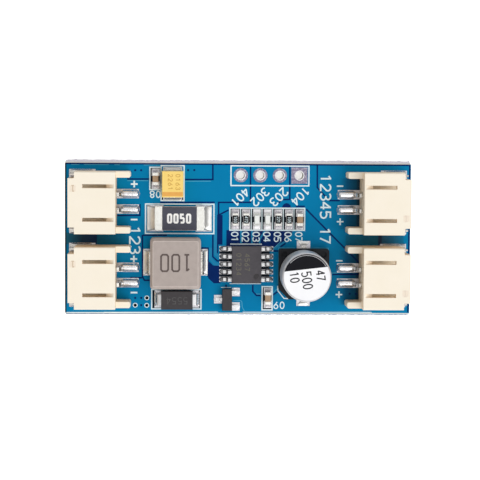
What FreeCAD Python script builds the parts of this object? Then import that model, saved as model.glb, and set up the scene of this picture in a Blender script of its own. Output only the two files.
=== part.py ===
"""Solar charger module for one lithium cell: a small populated circuit board, in millimetres.

The board carries two battery sockets at its left end, two solar sockets at its right end, a row
of four header holes and the parts of a switching charger between them. Everything sits on one
face. The origin is the middle of the board's underside, +X points towards the solar sockets, +Y
towards the header holes and +Z out of the populated face.
"""

import FreeCAD
import Part

import math
import os

from FreeCAD import Vector

# Circuit board. Both long edges are snapped along a V groove, so each carries two slopes and a web.
BOARD_THICKNESS = 1.6
V_CUT_DEPTH = 0.5
V_CUT_SLOPE = 0.2
PAD_THICKNESS = 0.04

# Header holes: round pads and one square pad on top, round pads let into the underside
HEADER_PITCH = 2.54
HEADER_HOLES = 4
HEADER_HOLE_RADIUS = 0.5
HEADER_PAD_RADIUS = 0.92
HEADER_SQUARE_PAD = 2.1

# Wire-to-board socket, side entry, two ways
SOCKET_PITCH = 2.0
SOCKET_WIDTH = 7.9
SOCKET_DEPTH = 6.0
SOCKET_HEIGHT = 5.5
SOCKET_EDGE_CHAMFER = 0.1
CAVITY_SIDE = 1.45
CAVITY_ROOF = 0.85
CAVITY_FLOOR = 1.15
CAVITY_REAR = 1.1
CAVITY_WIDTH = SOCKET_WIDTH - 2 * CAVITY_SIDE
CAVITY_HEIGHT = SOCKET_HEIGHT - CAVITY_FLOOR - CAVITY_ROOF
CAVITY_DEPTH = SOCKET_DEPTH - CAVITY_REAR
CAVITY_LEAD_IN = 0.2
ARM_LENGTH = 1.85
ARM_WIDTH = 0.8
ARM_HEIGHT = 3.5
ARM_TIP_CHAMFER = 0.15
NOTCH_DEPTH = 0.8
NOTCH_WIDTH = 0.85
WINDOW_FROM_SIDE = 0.385
WINDOW_SPACING = CAVITY_WIDTH - 2 * WINDOW_FROM_SIDE
WINDOW_WIDTH = 0.48
WINDOW_FROM_NOSE = 1.85
WINDOW_FROM_REAR = 0.2
WINDOW_LENGTH = SOCKET_DEPTH - WINDOW_FROM_NOSE - WINDOW_FROM_REAR
WINDOW_RAMP = 0.98
CONTACT_SIZE = 0.5
CONTACT_HEIGHT = CAVITY_FLOOR + CAVITY_HEIGHT / 2
CONTACT_BEND = 0.35
CONTACT_TIP_FROM_NOSE = 0.9
CONTACT_TIP_TAPER = 0.3
CONTACT_WALL_GAP = 0.25
CONTACT_RECESS = 0.9
CONTACT_RECESS_DEPTH = 0.25
CONTACT_FOOT = 1.74
CONTACT_PAD_TOE = 0.37
CONTACT_PAD_LENGTH = 3.5
CONTACT_PAD_WIDTH = 1.2
BRACKET_THICKNESS = 0.25
BRACKET_LENGTH = 2.9
BRACKET_HEIGHT = 2.6
BRACKET_FOOT = 0.6
BRACKET_PAD_LENGTH = 3.4
BRACKET_PAD_WIDTH = 1.5
BRACKET_PAD_OUT = 0.2
BRACKET_PAD_TOE = 0.14

# Moulded power inductor
INDUCTOR_LENGTH = 6.5
INDUCTOR_WIDTH = 6.55
INDUCTOR_HEIGHT = 3.0
INDUCTOR_CORNER = 0.45
INDUCTOR_BEVEL = 0.35
INDUCTOR_STRAP = 0.2
INDUCTOR_STRAP_WIDTH = 3.0
INDUCTOR_STRAP_REACH = 0.2
INDUCTOR_STRAP_EXIT = 1.5
INDUCTOR_STRAP_UNDER = 1.3
INDUCTOR_PAD_OUT = 0.94
INDUCTOR_PAD_SPAN = INDUCTOR_LENGTH + 2 * INDUCTOR_PAD_OUT
INDUCTOR_PAD_LENGTH = 2.3
INDUCTOR_PAD_WIDTH = 3.45

# Current-sense resistor
SENSE_LENGTH = 6.35
SENSE_WIDTH = 3.2
SENSE_HEIGHT = 0.62
SENSE_BAND = 0.95
SENSE_PLATING = 0.05
SENSE_COAT = 0.09
SENSE_PAD_OUT = 1.025
SENSE_PAD_SPAN = SENSE_LENGTH + 2 * SENSE_PAD_OUT
SENSE_PAD_LENGTH = 2.1
SENSE_PAD_WIDTH = 3.4

# Schottky diode
DIODE_LENGTH = 4.1
DIODE_WIDTH = 2.5
DIODE_HEIGHT = 2.15
DIODE_DRAFT = 0.09
DIODE_STRAP = 0.2
DIODE_STRAP_WIDTH = 1.4
DIODE_STRAP_REACH = 0.35
DIODE_STRAP_UNDER = 0.8
DIODE_PAD_OUT = 0.87
DIODE_PAD_SPAN = DIODE_LENGTH + 2 * DIODE_PAD_OUT
DIODE_PAD_LENGTH = 1.75
DIODE_PAD_WIDTH = 2.25

# Tantalum capacitor
TANTALUM_LENGTH = 3.42
TANTALUM_WIDTH = 2.78
TANTALUM_HEIGHT = 1.9
TANTALUM_DRAFT = 0.05
TANTALUM_STRAP = 0.12
TANTALUM_STRAP_WIDTH = 2.2
TANTALUM_STRAP_REACH = 0.03
TANTALUM_STRAP_UNDER = 0.7
TANTALUM_PAD_OUT = 0.49
TANTALUM_PAD_SPAN = TANTALUM_LENGTH + 2 * TANTALUM_PAD_OUT
TANTALUM_PAD_LENGTH = 1.5
TANTALUM_PAD_WIDTH = 2.45

# Charge controller chip, ten gull-wing leads
CHIP_BODY_X = 3.9
CHIP_BODY_Y = 4.9
CHIP_HEIGHT = 1.55
CHIP_DRAFT = 0.12
CHIP_STANDOFF = 0.12
CHIP_LEAD_PITCH = 1.0
CHIP_LEADS_A_SIDE = 5
CHIP_LEAD_WIDTH = 0.42
CHIP_LEAD_THICKNESS = 0.2
CHIP_LEAD_SHOULDER = 0.35
CHIP_LEAD_DROP = 0.25
CHIP_LEAD_FOOT = 0.45
CHIP_PAD_TOE = 0.5
CHIP_PAD_LENGTH = 1.6
CHIP_PAD_WIDTH = 0.66
CHIP_DIMPLE_RADIUS = 0.42
CHIP_DIMPLE_DEPTH = 0.06
CHIP_DIMPLE_X_INSET = 0.65
CHIP_DIMPLE_Y_INSET = 0.9

# Switching transistor, three gull-wing leads
TRANSISTOR_BODY_X = 1.3
TRANSISTOR_BODY_Y = 2.9
TRANSISTOR_HEIGHT = 1.05
TRANSISTOR_DRAFT = 0.12
TRANSISTOR_STANDOFF = 0.06
TRANSISTOR_LEAD_PITCH = 1.9
TRANSISTOR_LEAD_WIDTH = 0.42
TRANSISTOR_LEAD_THICKNESS = 0.13
TRANSISTOR_LEAD_SHOULDER = 0.18
TRANSISTOR_LEAD_DROP = 0.12
TRANSISTOR_LEAD_FOOT = 0.3
TRANSISTOR_PAD_TOE = 0.42
TRANSISTOR_PAD_LENGTH = 1.0
TRANSISTOR_PAD_WIDTH = 1.1

# Aluminium electrolytic capacitor on a moulded seat
CAN_RADIUS = 3.15
SEAT_RIM = 0.12
SEAT_SIZE = 2 * (CAN_RADIUS + SEAT_RIM)
SEAT_HEIGHT = 1.2
SEAT_FLOOR = 0.4
SEAT_CHAMFER = 1.3
SEAT_CORNER_RADIUS = 0.35
SEAT_DIMPLE_RADIUS = 0.4
SEAT_DIMPLE_DEPTH = 0.3
SEAT_DIMPLE_INSET = 0.72
SEAT_CLEARANCE = 0.05
CAN_TOP = 5.9
CAN_SHOULDER = 0.35
CRIMP_HEIGHT = 2.0
CRIMP_DEPTH = 0.22
CRIMP_HALF_LENGTH = 0.28
TAB_WIDTH = 0.7
TAB_THICKNESS = 0.25
TAB_OUT = 0.4
STEM_SIZE = 0.5
STEM_SPACING = 2.2
ELECTROLYTIC_PAD_OUT = 0.98
ELECTROLYTIC_PAD_SPAN = SEAT_SIZE + 2 * ELECTROLYTIC_PAD_OUT
ELECTROLYTIC_PAD_LENGTH = 3.0
ELECTROLYTIC_PAD_WIDTH = 1.75

# Small chip parts of one outline: resistors, ceramic capacitors and lamps
SMALL_LENGTH = 1.6
SMALL_WIDTH = 0.8
SMALL_PLATING = 0.03
SMALL_PAD_OUT = 0.525
SMALL_PAD_SPAN = SMALL_LENGTH + 2 * SMALL_PAD_OUT
SMALL_PAD_LENGTH = 0.95
SMALL_PAD_WIDTH = 1.0
SMALL_ROW_PITCH = 1.396
RESISTOR_HEIGHT = 0.45
RESISTOR_BAND = 0.28
RESISTOR_COAT = 0.05
CERAMIC_HEIGHT = 0.8
CERAMIC_BAND = 0.38
LAMP_BASE_HEIGHT = 0.3
LAMP_BAND = 0.2
LAMP_HEIGHT = 0.65
LAMP_LENS_DRAFT = 0.08

# Solder
SOLDER_SHARE = 0.6
SOLDER_RIM = 0.06
SOLDER_LIP = 0.02

# Gaps between neighbours from the left end of the board to its right end
END_TO_SOCKET = 0.54
SOCKET_TO_INDUCTOR = 0.57
INDUCTOR_TO_CHIP = 1.51
CHIP_TO_SEAT = 0.68
SEAT_TO_SOCKET = 1.14

# Gaps from edge to edge: down the sockets, down the left-hand column and down the middle one.
# The board is as wide as the widest of the three, and each part keeps its gap from its own edge.
EDGE_TO_BOARD_SOCKET = 1.17
BETWEEN_SOCKETS = 1.66
EDGE_TO_TANTALUM = 0.64
TANTALUM_TO_SENSE = 0.55
SENSE_TO_INDUCTOR = 0.735
INDUCTOR_TO_DIODE = 0.275
DIODE_TO_EDGE = 0.75
EDGE_TO_HEADER = 0.62
HEADER_TO_ROW = 3.345
ROW_TO_CHIP = 2.055
CHIP_TO_TRANSISTOR = 0.7
TRANSISTOR_TO_EDGE = 0.53

# Gaps elsewhere
CHIP_TO_BYPASS = 0.645
TANTALUM_TO_FILTER = 0.49
FILTER_ABOVE_TANTALUM = 0.66
HEADER_ALONG_CHIP = 3.03
ROW_ALONG_CHIP = 2.74
SENSE_ALONG_INDUCTOR = 0.5
DIODE_ALONG_INDUCTOR = 0.2
TANTALUM_ALONG_INDUCTOR = -0.4
TRANSISTOR_ALONG_CHIP = -2.49
BYPASS_ALONG_CHIP = 2.83
SEAT_BELOW_CHIP = 1.2

Z_AXIS = Vector(0, 0, 1)
SEAT_Z = BOARD_THICKNESS + PAD_THICKNESS

nodes = {}


def block(x_span, y_span, z_span):
    """Box between a low and a high value on each axis."""
    size = [span[1] - span[0] for span in (x_span, y_span, z_span)]
    return Part.makeBox(*size, Vector(x_span[0], y_span[0], z_span[0]))


def centred_block(length, width, z_span):
    """Box centred on the Z axis."""
    return block((-length / 2, length / 2), (-width / 2, width / 2), z_span)


def rectangle(x_span, y_span, z):
    """Corners of a level rectangle, in turn."""
    return [Vector(x_span[0], y_span[0], z), Vector(x_span[1], y_span[0], z),
            Vector(x_span[1], y_span[1], z), Vector(x_span[0], y_span[1], z)]


def hull_between(low, high):
    """Flat-faced solid between two four-cornered loops whose corners are given in the same order."""
    faces = [Part.Face(Part.makePolygon(loop + loop[:1])) for loop in (low, high)]
    for index in range(len(low)):
        after = (index + 1) % len(low)
        side = [low[index], low[after], high[after], high[index], low[index]]
        faces.append(Part.Face(Part.makePolygon(side)))
    solid = Part.Solid(Part.Shell(faces))
    return solid if solid.Volume > 0 else solid.reversed()


def frustum(low, high):
    """Solid between two level rectangles, each given as x span, y span and z."""
    return hull_between(rectangle(*low), rectangle(*high))


def prism(corners, along):
    """Polygon swept in a straight line."""
    return Part.Face(Part.makePolygon(corners + corners[:1])).extrude(along)


def rod(radius, z_span, x=0.0, y=0.0):
    """Upright cylinder."""
    return Part.makeCylinder(radius, z_span[1] - z_span[0], Vector(x, y, z_span[0]))


def straight_edges(shape, axis):
    """The straight edges of a shape that run along an axis."""
    found = []
    for edge in shape.Edges:
        if edge.Curve.TypeId != "Part::GeomLine":
            continue
        if abs(edge.tangentAt(edge.FirstParameter).dot(axis)) > 0.9999:
            found.append(edge)
    return found


def spans(length, width):
    """The x span and y span of a rectangle centred on the origin."""
    return (-length / 2, length / 2), (-width / 2, width / 2)


def moulded_body(length, width, z_low, z_parting, z_high, draft):
    """Moulded package, widest at its parting line and tapered up and down from there."""
    wide = spans(length, width)
    lower = spans(length - 2 * draft * (z_parting - z_low), width - 2 * draft * (z_parting - z_low))
    upper = spans(length - 2 * draft * (z_high - z_parting), width - 2 * draft * (z_high - z_parting))
    under = frustum((*lower, z_low), (*wide, z_parting))
    over = frustum((*wide, z_parting), (*upper, z_high))
    return under.fuse(over).removeSplitter()


def bent_strip(path, bend, thickness, width):
    """Metal strip that follows corner points in the XZ plane, with a bend at each of them.

    The strip is centred on Y. Its two faces are the centre line moved to either side, so each
    bend is a pair of concentric arcs. A bend of 0 gives a sharp mitre instead.
    """
    half = thickness / 2
    points = [Vector(x, 0, z) for x, z in path]
    left, right = [], []

    def normal(direction):
        return Vector(-direction.z, 0, direction.x)

    first = (points[1] - points[0]).normalize()
    left.append([points[0] + normal(first) * half])
    right.append([points[0] - normal(first) * half])
    for before, corner, after in zip(points, points[1:], points[2:]):
        arriving = (corner - before).normalize()
        leaving = (after - corner).normalize()
        turn = math.copysign(1, arriving.x * leaving.z - arriving.z * leaving.x)
        angle = arriving.getAngle(leaving)
        if not bend:
            mitre = (normal(arriving) + normal(leaving)).normalize() * (half / math.cos(angle / 2))
            left.append([corner + mitre])
            right.append([corner - mitre])
            continue
        tangent = bend * math.tan(angle / 2)
        start = corner - arriving * tangent
        end = corner + leaving * tangent
        centre = start + normal(arriving) * bend * turn
        middle = ((start - centre) + (end - centre)).normalize()
        for side, sign in ((left, 1), (right, -1)):
            radius = bend - turn * sign * half
            arc = [centre + ray * radius for ray in
                   ((start - centre).normalize(), middle, (end - centre).normalize())]
            side.append(arc)
    last = (points[-1] - points[-2]).normalize()
    left.append([points[-1] + normal(last) * half])
    right.append([points[-1] - normal(last) * half])

    edges = []
    outline = left + [arc[::-1] for arc in right[::-1]]
    for piece, following in zip(outline, outline[1:] + outline[:1]):
        if len(piece) == 3:
            edges.append(Part.Arc(*piece).toShape())
        edges.append(Part.LineSegment(piece[-1], following[0]).toShape())
    face = Part.Face(Part.Wire(edges))
    strip = face.extrude(Vector(0, width, 0))
    strip.translate(Vector(0, -width / 2, 0))
    return strip


def turned(shape, degrees, x=0.0, y=0.0, z=0.0):
    """Copy of a shape turned about the Z axis and then moved."""
    copy = shape.copy()
    copy.rotate(Vector(0, 0, 0), Z_AXIS, degrees)
    copy.translate(Vector(x, y, z))
    return copy


def both_ends(shape):
    """A shape and its copy turned half round the Z axis."""
    return [shape, turned(shape, 180)]


def add(node, shapes, at, turn=0.0):
    """Files shapes under a node, turned and set down on the pads at a place on the board."""
    for shape in shapes:
        nodes.setdefault(node, []).append(turned(shape, turn, at[0], at[1], SEAT_Z))


def pad(x_span, y_span):
    """Tinned pad whose top is the plane that parts stand on."""
    return block(x_span, y_span, (-PAD_THICKNESS, 0))


def end_solder(face, pad_end, pad_width, face_width, height):
    """Solder that climbs from the end of a pad to the end face of a terminal."""
    low = ((face, pad_end - SOLDER_RIM), (SOLDER_RIM - pad_width / 2, pad_width / 2 - SOLDER_RIM), 0)
    high = ((face, face + SOLDER_LIP), (-face_width / 2, face_width / 2), height)
    return frustum(low, high)


def foot_solder(foot, pad_x, pad_width, foot_width, height):
    """Solder mound round a flat foot: wide on the pad, as narrow as the foot at its top."""
    low = ((foot[0], pad_x - SOLDER_RIM), (SOLDER_RIM - pad_width / 2, pad_width / 2 - SOLDER_RIM), 0)
    edge = foot_width / 2 + SOLDER_LIP
    high = ((foot[0], foot[1] + SOLDER_LIP), (-edge, edge), height)
    slot = block(foot, (-foot_width / 2, foot_width / 2), (0, height))
    return frustum(low, high).cut(slot)


def chip_part(name, at, turn, sizes, pads, coat=0.0, coat_node=""):
    """Ceramic block with a plated cap on each end, and a printed coat between the caps if stated."""
    length, width, height, band, plating = sizes
    pad_span, pad_length, pad_width = pads
    block_z = (plating, height - plating)
    ceramic = centred_block(length - 2 * plating, width - 2 * plating, block_z)
    cap = block((length / 2 - band, length / 2), (-width / 2, width / 2), (0, height))
    cap = cap.makeChamfer(plating, straight_edges(cap, Vector(1, 0, 0)))
    add(name + "_body", [ceramic], at, turn)
    add(name + "_end_caps", both_ends(cap.cut(ceramic)), at, turn)
    if coat:
        coat_z = (height - plating, height - plating + coat)
        layer = centred_block(length - 2 * band, width - 4 * plating, coat_z)
        add(coat_node, [layer], at, turn)
    land = pad((pad_span / 2 - pad_length, pad_span / 2), (-pad_width / 2, pad_width / 2))
    add("tinned_pads", both_ends(land), at, turn)
    fillet = end_solder(length / 2, pad_span / 2, pad_width, width - 2 * plating, height * SOLDER_SHARE)
    add("part_solder", both_ends(fillet), at, turn)


def lamp(name, at, turn):
    """Small indicator lamp: plated base with a clear moulded lens between its end caps."""
    base_z = (SMALL_PLATING, LAMP_BASE_HEIGHT - SMALL_PLATING)
    inner = (SMALL_LENGTH - 2 * SMALL_PLATING, SMALL_WIDTH - 2 * SMALL_PLATING)
    base = centred_block(*inner, base_z)
    cap_x = (SMALL_LENGTH / 2 - LAMP_BAND, SMALL_LENGTH / 2)
    cap = block(cap_x, (-SMALL_WIDTH / 2, SMALL_WIDTH / 2), (0, LAMP_BASE_HEIGHT)).cut(base)
    lens_length = SMALL_LENGTH - 2 * LAMP_BAND
    low = (*spans(lens_length, inner[1]), base_z[1])
    high = (*spans(lens_length - 2 * LAMP_LENS_DRAFT, inner[1] - 2 * LAMP_LENS_DRAFT), LAMP_HEIGHT)
    add(name + "_base", [base], at, turn)
    add(name + "_end_caps", both_ends(cap), at, turn)
    add(name + "_lens", [frustum(low, high)], at, turn)
    outer = SMALL_PAD_SPAN / 2
    land = pad((outer - SMALL_PAD_LENGTH, outer), (-SMALL_PAD_WIDTH / 2, SMALL_PAD_WIDTH / 2))
    add("tinned_pads", both_ends(land), at, turn)
    fillet = end_solder(SMALL_LENGTH / 2, outer, SMALL_PAD_WIDTH, inner[1], LAMP_BASE_HEIGHT * SOLDER_SHARE)
    add("part_solder", both_ends(fillet), at, turn)


def folded_strap(length, strap, exit_height, reach, under, width):
    """Terminal strap that leaves a package's end, folds down it and runs in underneath."""
    outside = length / 2 + reach + strap / 2
    inside = length / 2 - under / 2
    path = [
        (inside, exit_height),
        (outside, exit_height),
        (outside, strap / 2),
        (length / 2 - under, strap / 2),
    ]
    return bent_strip(path, strap, strap, width)


def strapped_part(name, at, turn, body, strap, strap_width, outside, pads, solder_height):
    """Moulded package with a folded strap at each end, soldered at the outside of each strap."""
    straps = both_ends(strap)
    pad_span, pad_length, pad_width = pads
    add(name + "_body", [body.cut(straps[0]).cut(straps[1])], at, turn)
    add(name + "_terminals", straps, at, turn)
    land = pad((pad_span / 2 - pad_length, pad_span / 2), (-pad_width / 2, pad_width / 2))
    add("tinned_pads", both_ends(land), at, turn)
    fillet = end_solder(outside, pad_span / 2, pad_width, strap_width, solder_height)
    add("part_solder", both_ends(fillet), at, turn)


def inductor(at):
    """Moulded power inductor with bevelled top, rounded corners and two wide straps."""
    body = centred_block(INDUCTOR_LENGTH, INDUCTOR_WIDTH, (INDUCTOR_STRAP, INDUCTOR_HEIGHT))
    body = body.makeFillet(INDUCTOR_CORNER, straight_edges(body, Z_AXIS))
    top = [edge for edge in body.Edges if min(v.Z for v in edge.Vertexes) > INDUCTOR_HEIGHT - 1e-6]
    body = body.makeChamfer(INDUCTOR_BEVEL, top)
    strap = folded_strap(INDUCTOR_LENGTH, INDUCTOR_STRAP, INDUCTOR_STRAP_EXIT, INDUCTOR_STRAP_REACH,
                         INDUCTOR_STRAP_UNDER, INDUCTOR_STRAP_WIDTH)
    outside = INDUCTOR_LENGTH / 2 + INDUCTOR_STRAP_REACH + INDUCTOR_STRAP
    pads = (INDUCTOR_PAD_SPAN, INDUCTOR_PAD_LENGTH, INDUCTOR_PAD_WIDTH)
    strapped_part("inductor", at, 0, body, strap, INDUCTOR_STRAP_WIDTH, outside, pads,
                  INDUCTOR_STRAP_EXIT * SOLDER_SHARE)


def diode(at):
    """Schottky diode: tapered black package, strap terminals and a groove over its cathode end."""
    exit_height = (DIODE_STRAP + DIODE_HEIGHT) / 2
    body = moulded_body(DIODE_LENGTH, DIODE_WIDTH, DIODE_STRAP, exit_height, DIODE_HEIGHT,
                        DIODE_DRAFT)
    strap = folded_strap(DIODE_LENGTH, DIODE_STRAP, exit_height, DIODE_STRAP_REACH,
                         DIODE_STRAP_UNDER, DIODE_STRAP_WIDTH)
    outside = DIODE_LENGTH / 2 + DIODE_STRAP_REACH + DIODE_STRAP
    pads = (DIODE_PAD_SPAN, DIODE_PAD_LENGTH, DIODE_PAD_WIDTH)
    strapped_part("diode", at, 0, body, strap, DIODE_STRAP_WIDTH, outside, pads,
                  exit_height * SOLDER_SHARE)


def tantalum(at):
    """Tantalum capacitor: tapered block with terminal straps close against its end faces."""
    exit_height = TANTALUM_HEIGHT / 2
    body = moulded_body(TANTALUM_LENGTH, TANTALUM_WIDTH, TANTALUM_STRAP, exit_height,
                        TANTALUM_HEIGHT, TANTALUM_DRAFT)
    strap = folded_strap(TANTALUM_LENGTH, TANTALUM_STRAP, exit_height, TANTALUM_STRAP_REACH,
                         TANTALUM_STRAP_UNDER, TANTALUM_STRAP_WIDTH)
    outside = TANTALUM_LENGTH / 2 + TANTALUM_STRAP_REACH + TANTALUM_STRAP
    pads = (TANTALUM_PAD_SPAN, TANTALUM_PAD_LENGTH, TANTALUM_PAD_WIDTH)
    strapped_part("tantalum_capacitor", at, 90, body, strap, TANTALUM_STRAP_WIDTH, outside, pads,
                  exit_height * SOLDER_SHARE)


def gull_wing(body_x, exit_height, shoulder, drop, foot, thickness, width):
    """Lead that leaves a package at its parting line, steps down and ends in a flat foot."""
    inside = body_x / 2 - width / 2
    knee = body_x / 2 + shoulder
    path = [
        (inside, exit_height),
        (knee, exit_height),
        (knee + drop, thickness / 2),
        (knee + drop + foot, thickness / 2),
    ]
    return bent_strip(path, 0, thickness, width)


def leaded_package(name, at, body, lead, places, foot, pads, lead_width, solder_height):
    """Package with gull-wing leads at the stated turns and offsets, each soldered to its pad."""
    toe, pad_length, pad_width = pads
    end = foot[1] + toe
    land = pad((end - pad_length, end), (-pad_width / 2, pad_width / 2))
    flat = (foot[0] + solder_height, foot[1])
    mound = foot_solder(flat, end, pad_width, lead_width, solder_height)
    for turn, offset in places:
        placed = turned(lead, turn, 0, offset)
        body = body.cut(placed)
        add(name + "_leads", [placed], at)
        add("tinned_pads", [turned(land, turn, 0, offset)], at)
        add("part_solder", [turned(mound, turn, 0, offset)], at)
    add(name + "_body", [body], at)


def controller_chip(at):
    """Charge controller: ten leads, five a side, and a round dimple beside the first of them."""
    exit_height = (CHIP_STANDOFF + CHIP_HEIGHT) / 2
    body = moulded_body(CHIP_BODY_X, CHIP_BODY_Y, CHIP_STANDOFF, exit_height, CHIP_HEIGHT,
                        CHIP_DRAFT)
    dimple = rod(CHIP_DIMPLE_RADIUS, (CHIP_HEIGHT - CHIP_DIMPLE_DEPTH, CHIP_HEIGHT),
                 CHIP_BODY_X / 2 - CHIP_DIMPLE_X_INSET, CHIP_DIMPLE_Y_INSET - CHIP_BODY_Y / 2)
    lead = gull_wing(CHIP_BODY_X, exit_height, CHIP_LEAD_SHOULDER, CHIP_LEAD_DROP, CHIP_LEAD_FOOT,
                     CHIP_LEAD_THICKNESS, CHIP_LEAD_WIDTH)
    knee = CHIP_BODY_X / 2 + CHIP_LEAD_SHOULDER + CHIP_LEAD_DROP
    middle = (CHIP_LEADS_A_SIDE - 1) / 2
    places = [(turn, (index - middle) * CHIP_LEAD_PITCH)
              for turn in (0, 180) for index in range(CHIP_LEADS_A_SIDE)]
    leaded_package("controller_chip", at, body.cut(dimple), lead, places,
                   (knee, knee + CHIP_LEAD_FOOT), (CHIP_PAD_TOE, CHIP_PAD_LENGTH, CHIP_PAD_WIDTH),
                   CHIP_LEAD_WIDTH, CHIP_LEAD_THICKNESS)


def transistor(at):
    """Switching transistor: one lead on its left side and two on its right."""
    exit_height = (TRANSISTOR_STANDOFF + TRANSISTOR_HEIGHT) / 2
    body = moulded_body(TRANSISTOR_BODY_X, TRANSISTOR_BODY_Y, TRANSISTOR_STANDOFF, exit_height,
                        TRANSISTOR_HEIGHT, TRANSISTOR_DRAFT)
    lead = gull_wing(TRANSISTOR_BODY_X, exit_height, TRANSISTOR_LEAD_SHOULDER, TRANSISTOR_LEAD_DROP,
                     TRANSISTOR_LEAD_FOOT, TRANSISTOR_LEAD_THICKNESS, TRANSISTOR_LEAD_WIDTH)
    knee = TRANSISTOR_BODY_X / 2 + TRANSISTOR_LEAD_SHOULDER + TRANSISTOR_LEAD_DROP
    places = [(180, 0.0), (0, TRANSISTOR_LEAD_PITCH / 2), (0, -TRANSISTOR_LEAD_PITCH / 2)]
    leaded_package("transistor", at, body, lead, places, (knee, knee + TRANSISTOR_LEAD_FOOT),
                   (TRANSISTOR_PAD_TOE, TRANSISTOR_PAD_LENGTH, TRANSISTOR_PAD_WIDTH),
                   TRANSISTOR_LEAD_WIDTH, TRANSISTOR_LEAD_THICKNESS)


def electrolytic(at):
    """Sealed aluminium electrolytic capacitor on a moulded seat with two cut corners.

    The cut corners mark the positive end, which is the local +X end.
    """
    turn = -90
    neck = CAN_RADIUS - CRIMP_DEPTH
    crimp = (CRIMP_HEIGHT - CRIMP_HALF_LENGTH, CRIMP_HEIGHT, CRIMP_HEIGHT + CRIMP_HALF_LENGTH)
    shoulder_z = CAN_TOP - CAN_SHOULDER
    bulge = CAN_SHOULDER * (1 - math.sqrt(0.5))

    def at_radius(radius, z):
        return Vector(radius, 0, z)

    half_section = [
        Part.LineSegment(at_radius(0, SEAT_FLOOR), at_radius(CAN_RADIUS, SEAT_FLOOR)),
        Part.LineSegment(at_radius(CAN_RADIUS, SEAT_FLOOR), at_radius(CAN_RADIUS, crimp[0])),
        Part.LineSegment(at_radius(CAN_RADIUS, crimp[0]), at_radius(neck, crimp[1])),
        Part.LineSegment(at_radius(neck, crimp[1]), at_radius(CAN_RADIUS, crimp[2])),
        Part.LineSegment(at_radius(CAN_RADIUS, crimp[2]), at_radius(CAN_RADIUS, shoulder_z)),
        Part.Arc(at_radius(CAN_RADIUS, shoulder_z), at_radius(CAN_RADIUS - bulge, CAN_TOP - bulge),
                 at_radius(CAN_RADIUS - CAN_SHOULDER, CAN_TOP)),
        Part.LineSegment(at_radius(CAN_RADIUS - CAN_SHOULDER, CAN_TOP), at_radius(0, CAN_TOP)),
        Part.LineSegment(at_radius(0, CAN_TOP), at_radius(0, SEAT_FLOOR)),
    ]
    profile = Part.Face(Part.Wire([edge.toShape() for edge in half_section]))
    can = profile.revolve(Vector(0, 0, 0), Z_AXIS, 360)

    stem_x = STEM_SPACING / 2
    tab_end = SEAT_SIZE / 2 + TAB_OUT
    tab = block((stem_x - TAB_WIDTH / 2, tab_end), (-TAB_WIDTH / 2, TAB_WIDTH / 2), (0, TAB_THICKNESS))
    stem = centred_block(STEM_SIZE, STEM_SIZE, (0, SEAT_FLOOR))
    stem.translate(Vector(stem_x, 0, 0))
    lead = tab.fuse(stem).removeSplitter()
    leads = both_ends(lead)

    seat = centred_block(SEAT_SIZE, SEAT_SIZE, (0, SEAT_HEIGHT))
    corner = SEAT_SIZE / 2
    for side in (1, -1):
        tip = Vector(corner, side * corner, 0)
        wedge = [tip, tip - Vector(SEAT_CHAMFER, 0, 0), tip - Vector(0, side * SEAT_CHAMFER, 0)]
        seat = seat.cut(prism(wedge, Vector(0, 0, SEAT_HEIGHT)))
        dimple_at = corner - SEAT_DIMPLE_INSET
        seat = seat.cut(rod(SEAT_DIMPLE_RADIUS, (SEAT_HEIGHT - SEAT_DIMPLE_DEPTH, SEAT_HEIGHT),
                            -dimple_at, side * dimple_at))
    back = [edge for edge in straight_edges(seat, Z_AXIS) if edge.CenterOfMass.x < -corner + 1e-6]
    seat = seat.makeFillet(SEAT_CORNER_RADIUS, back)
    seat = seat.cut(rod(CAN_RADIUS + SEAT_CLEARANCE, (SEAT_FLOOR, SEAT_HEIGHT)))
    for piece in leads:
        seat = seat.cut(piece)

    add("capacitor_seat", [seat], at, turn)
    add("capacitor_can", [can], at, turn)
    add("capacitor_leads", leads, at, turn)
    outer = ELECTROLYTIC_PAD_SPAN / 2
    width = ELECTROLYTIC_PAD_WIDTH
    add("tinned_pads", both_ends(pad((outer - ELECTROLYTIC_PAD_LENGTH, outer), (-width / 2, width / 2))),
        at, turn)
    fillet = foot_solder((SEAT_SIZE / 2, tab_end), outer, width, TAB_WIDTH, TAB_THICKNESS)
    add("part_solder", both_ends(fillet), at, turn)


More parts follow.
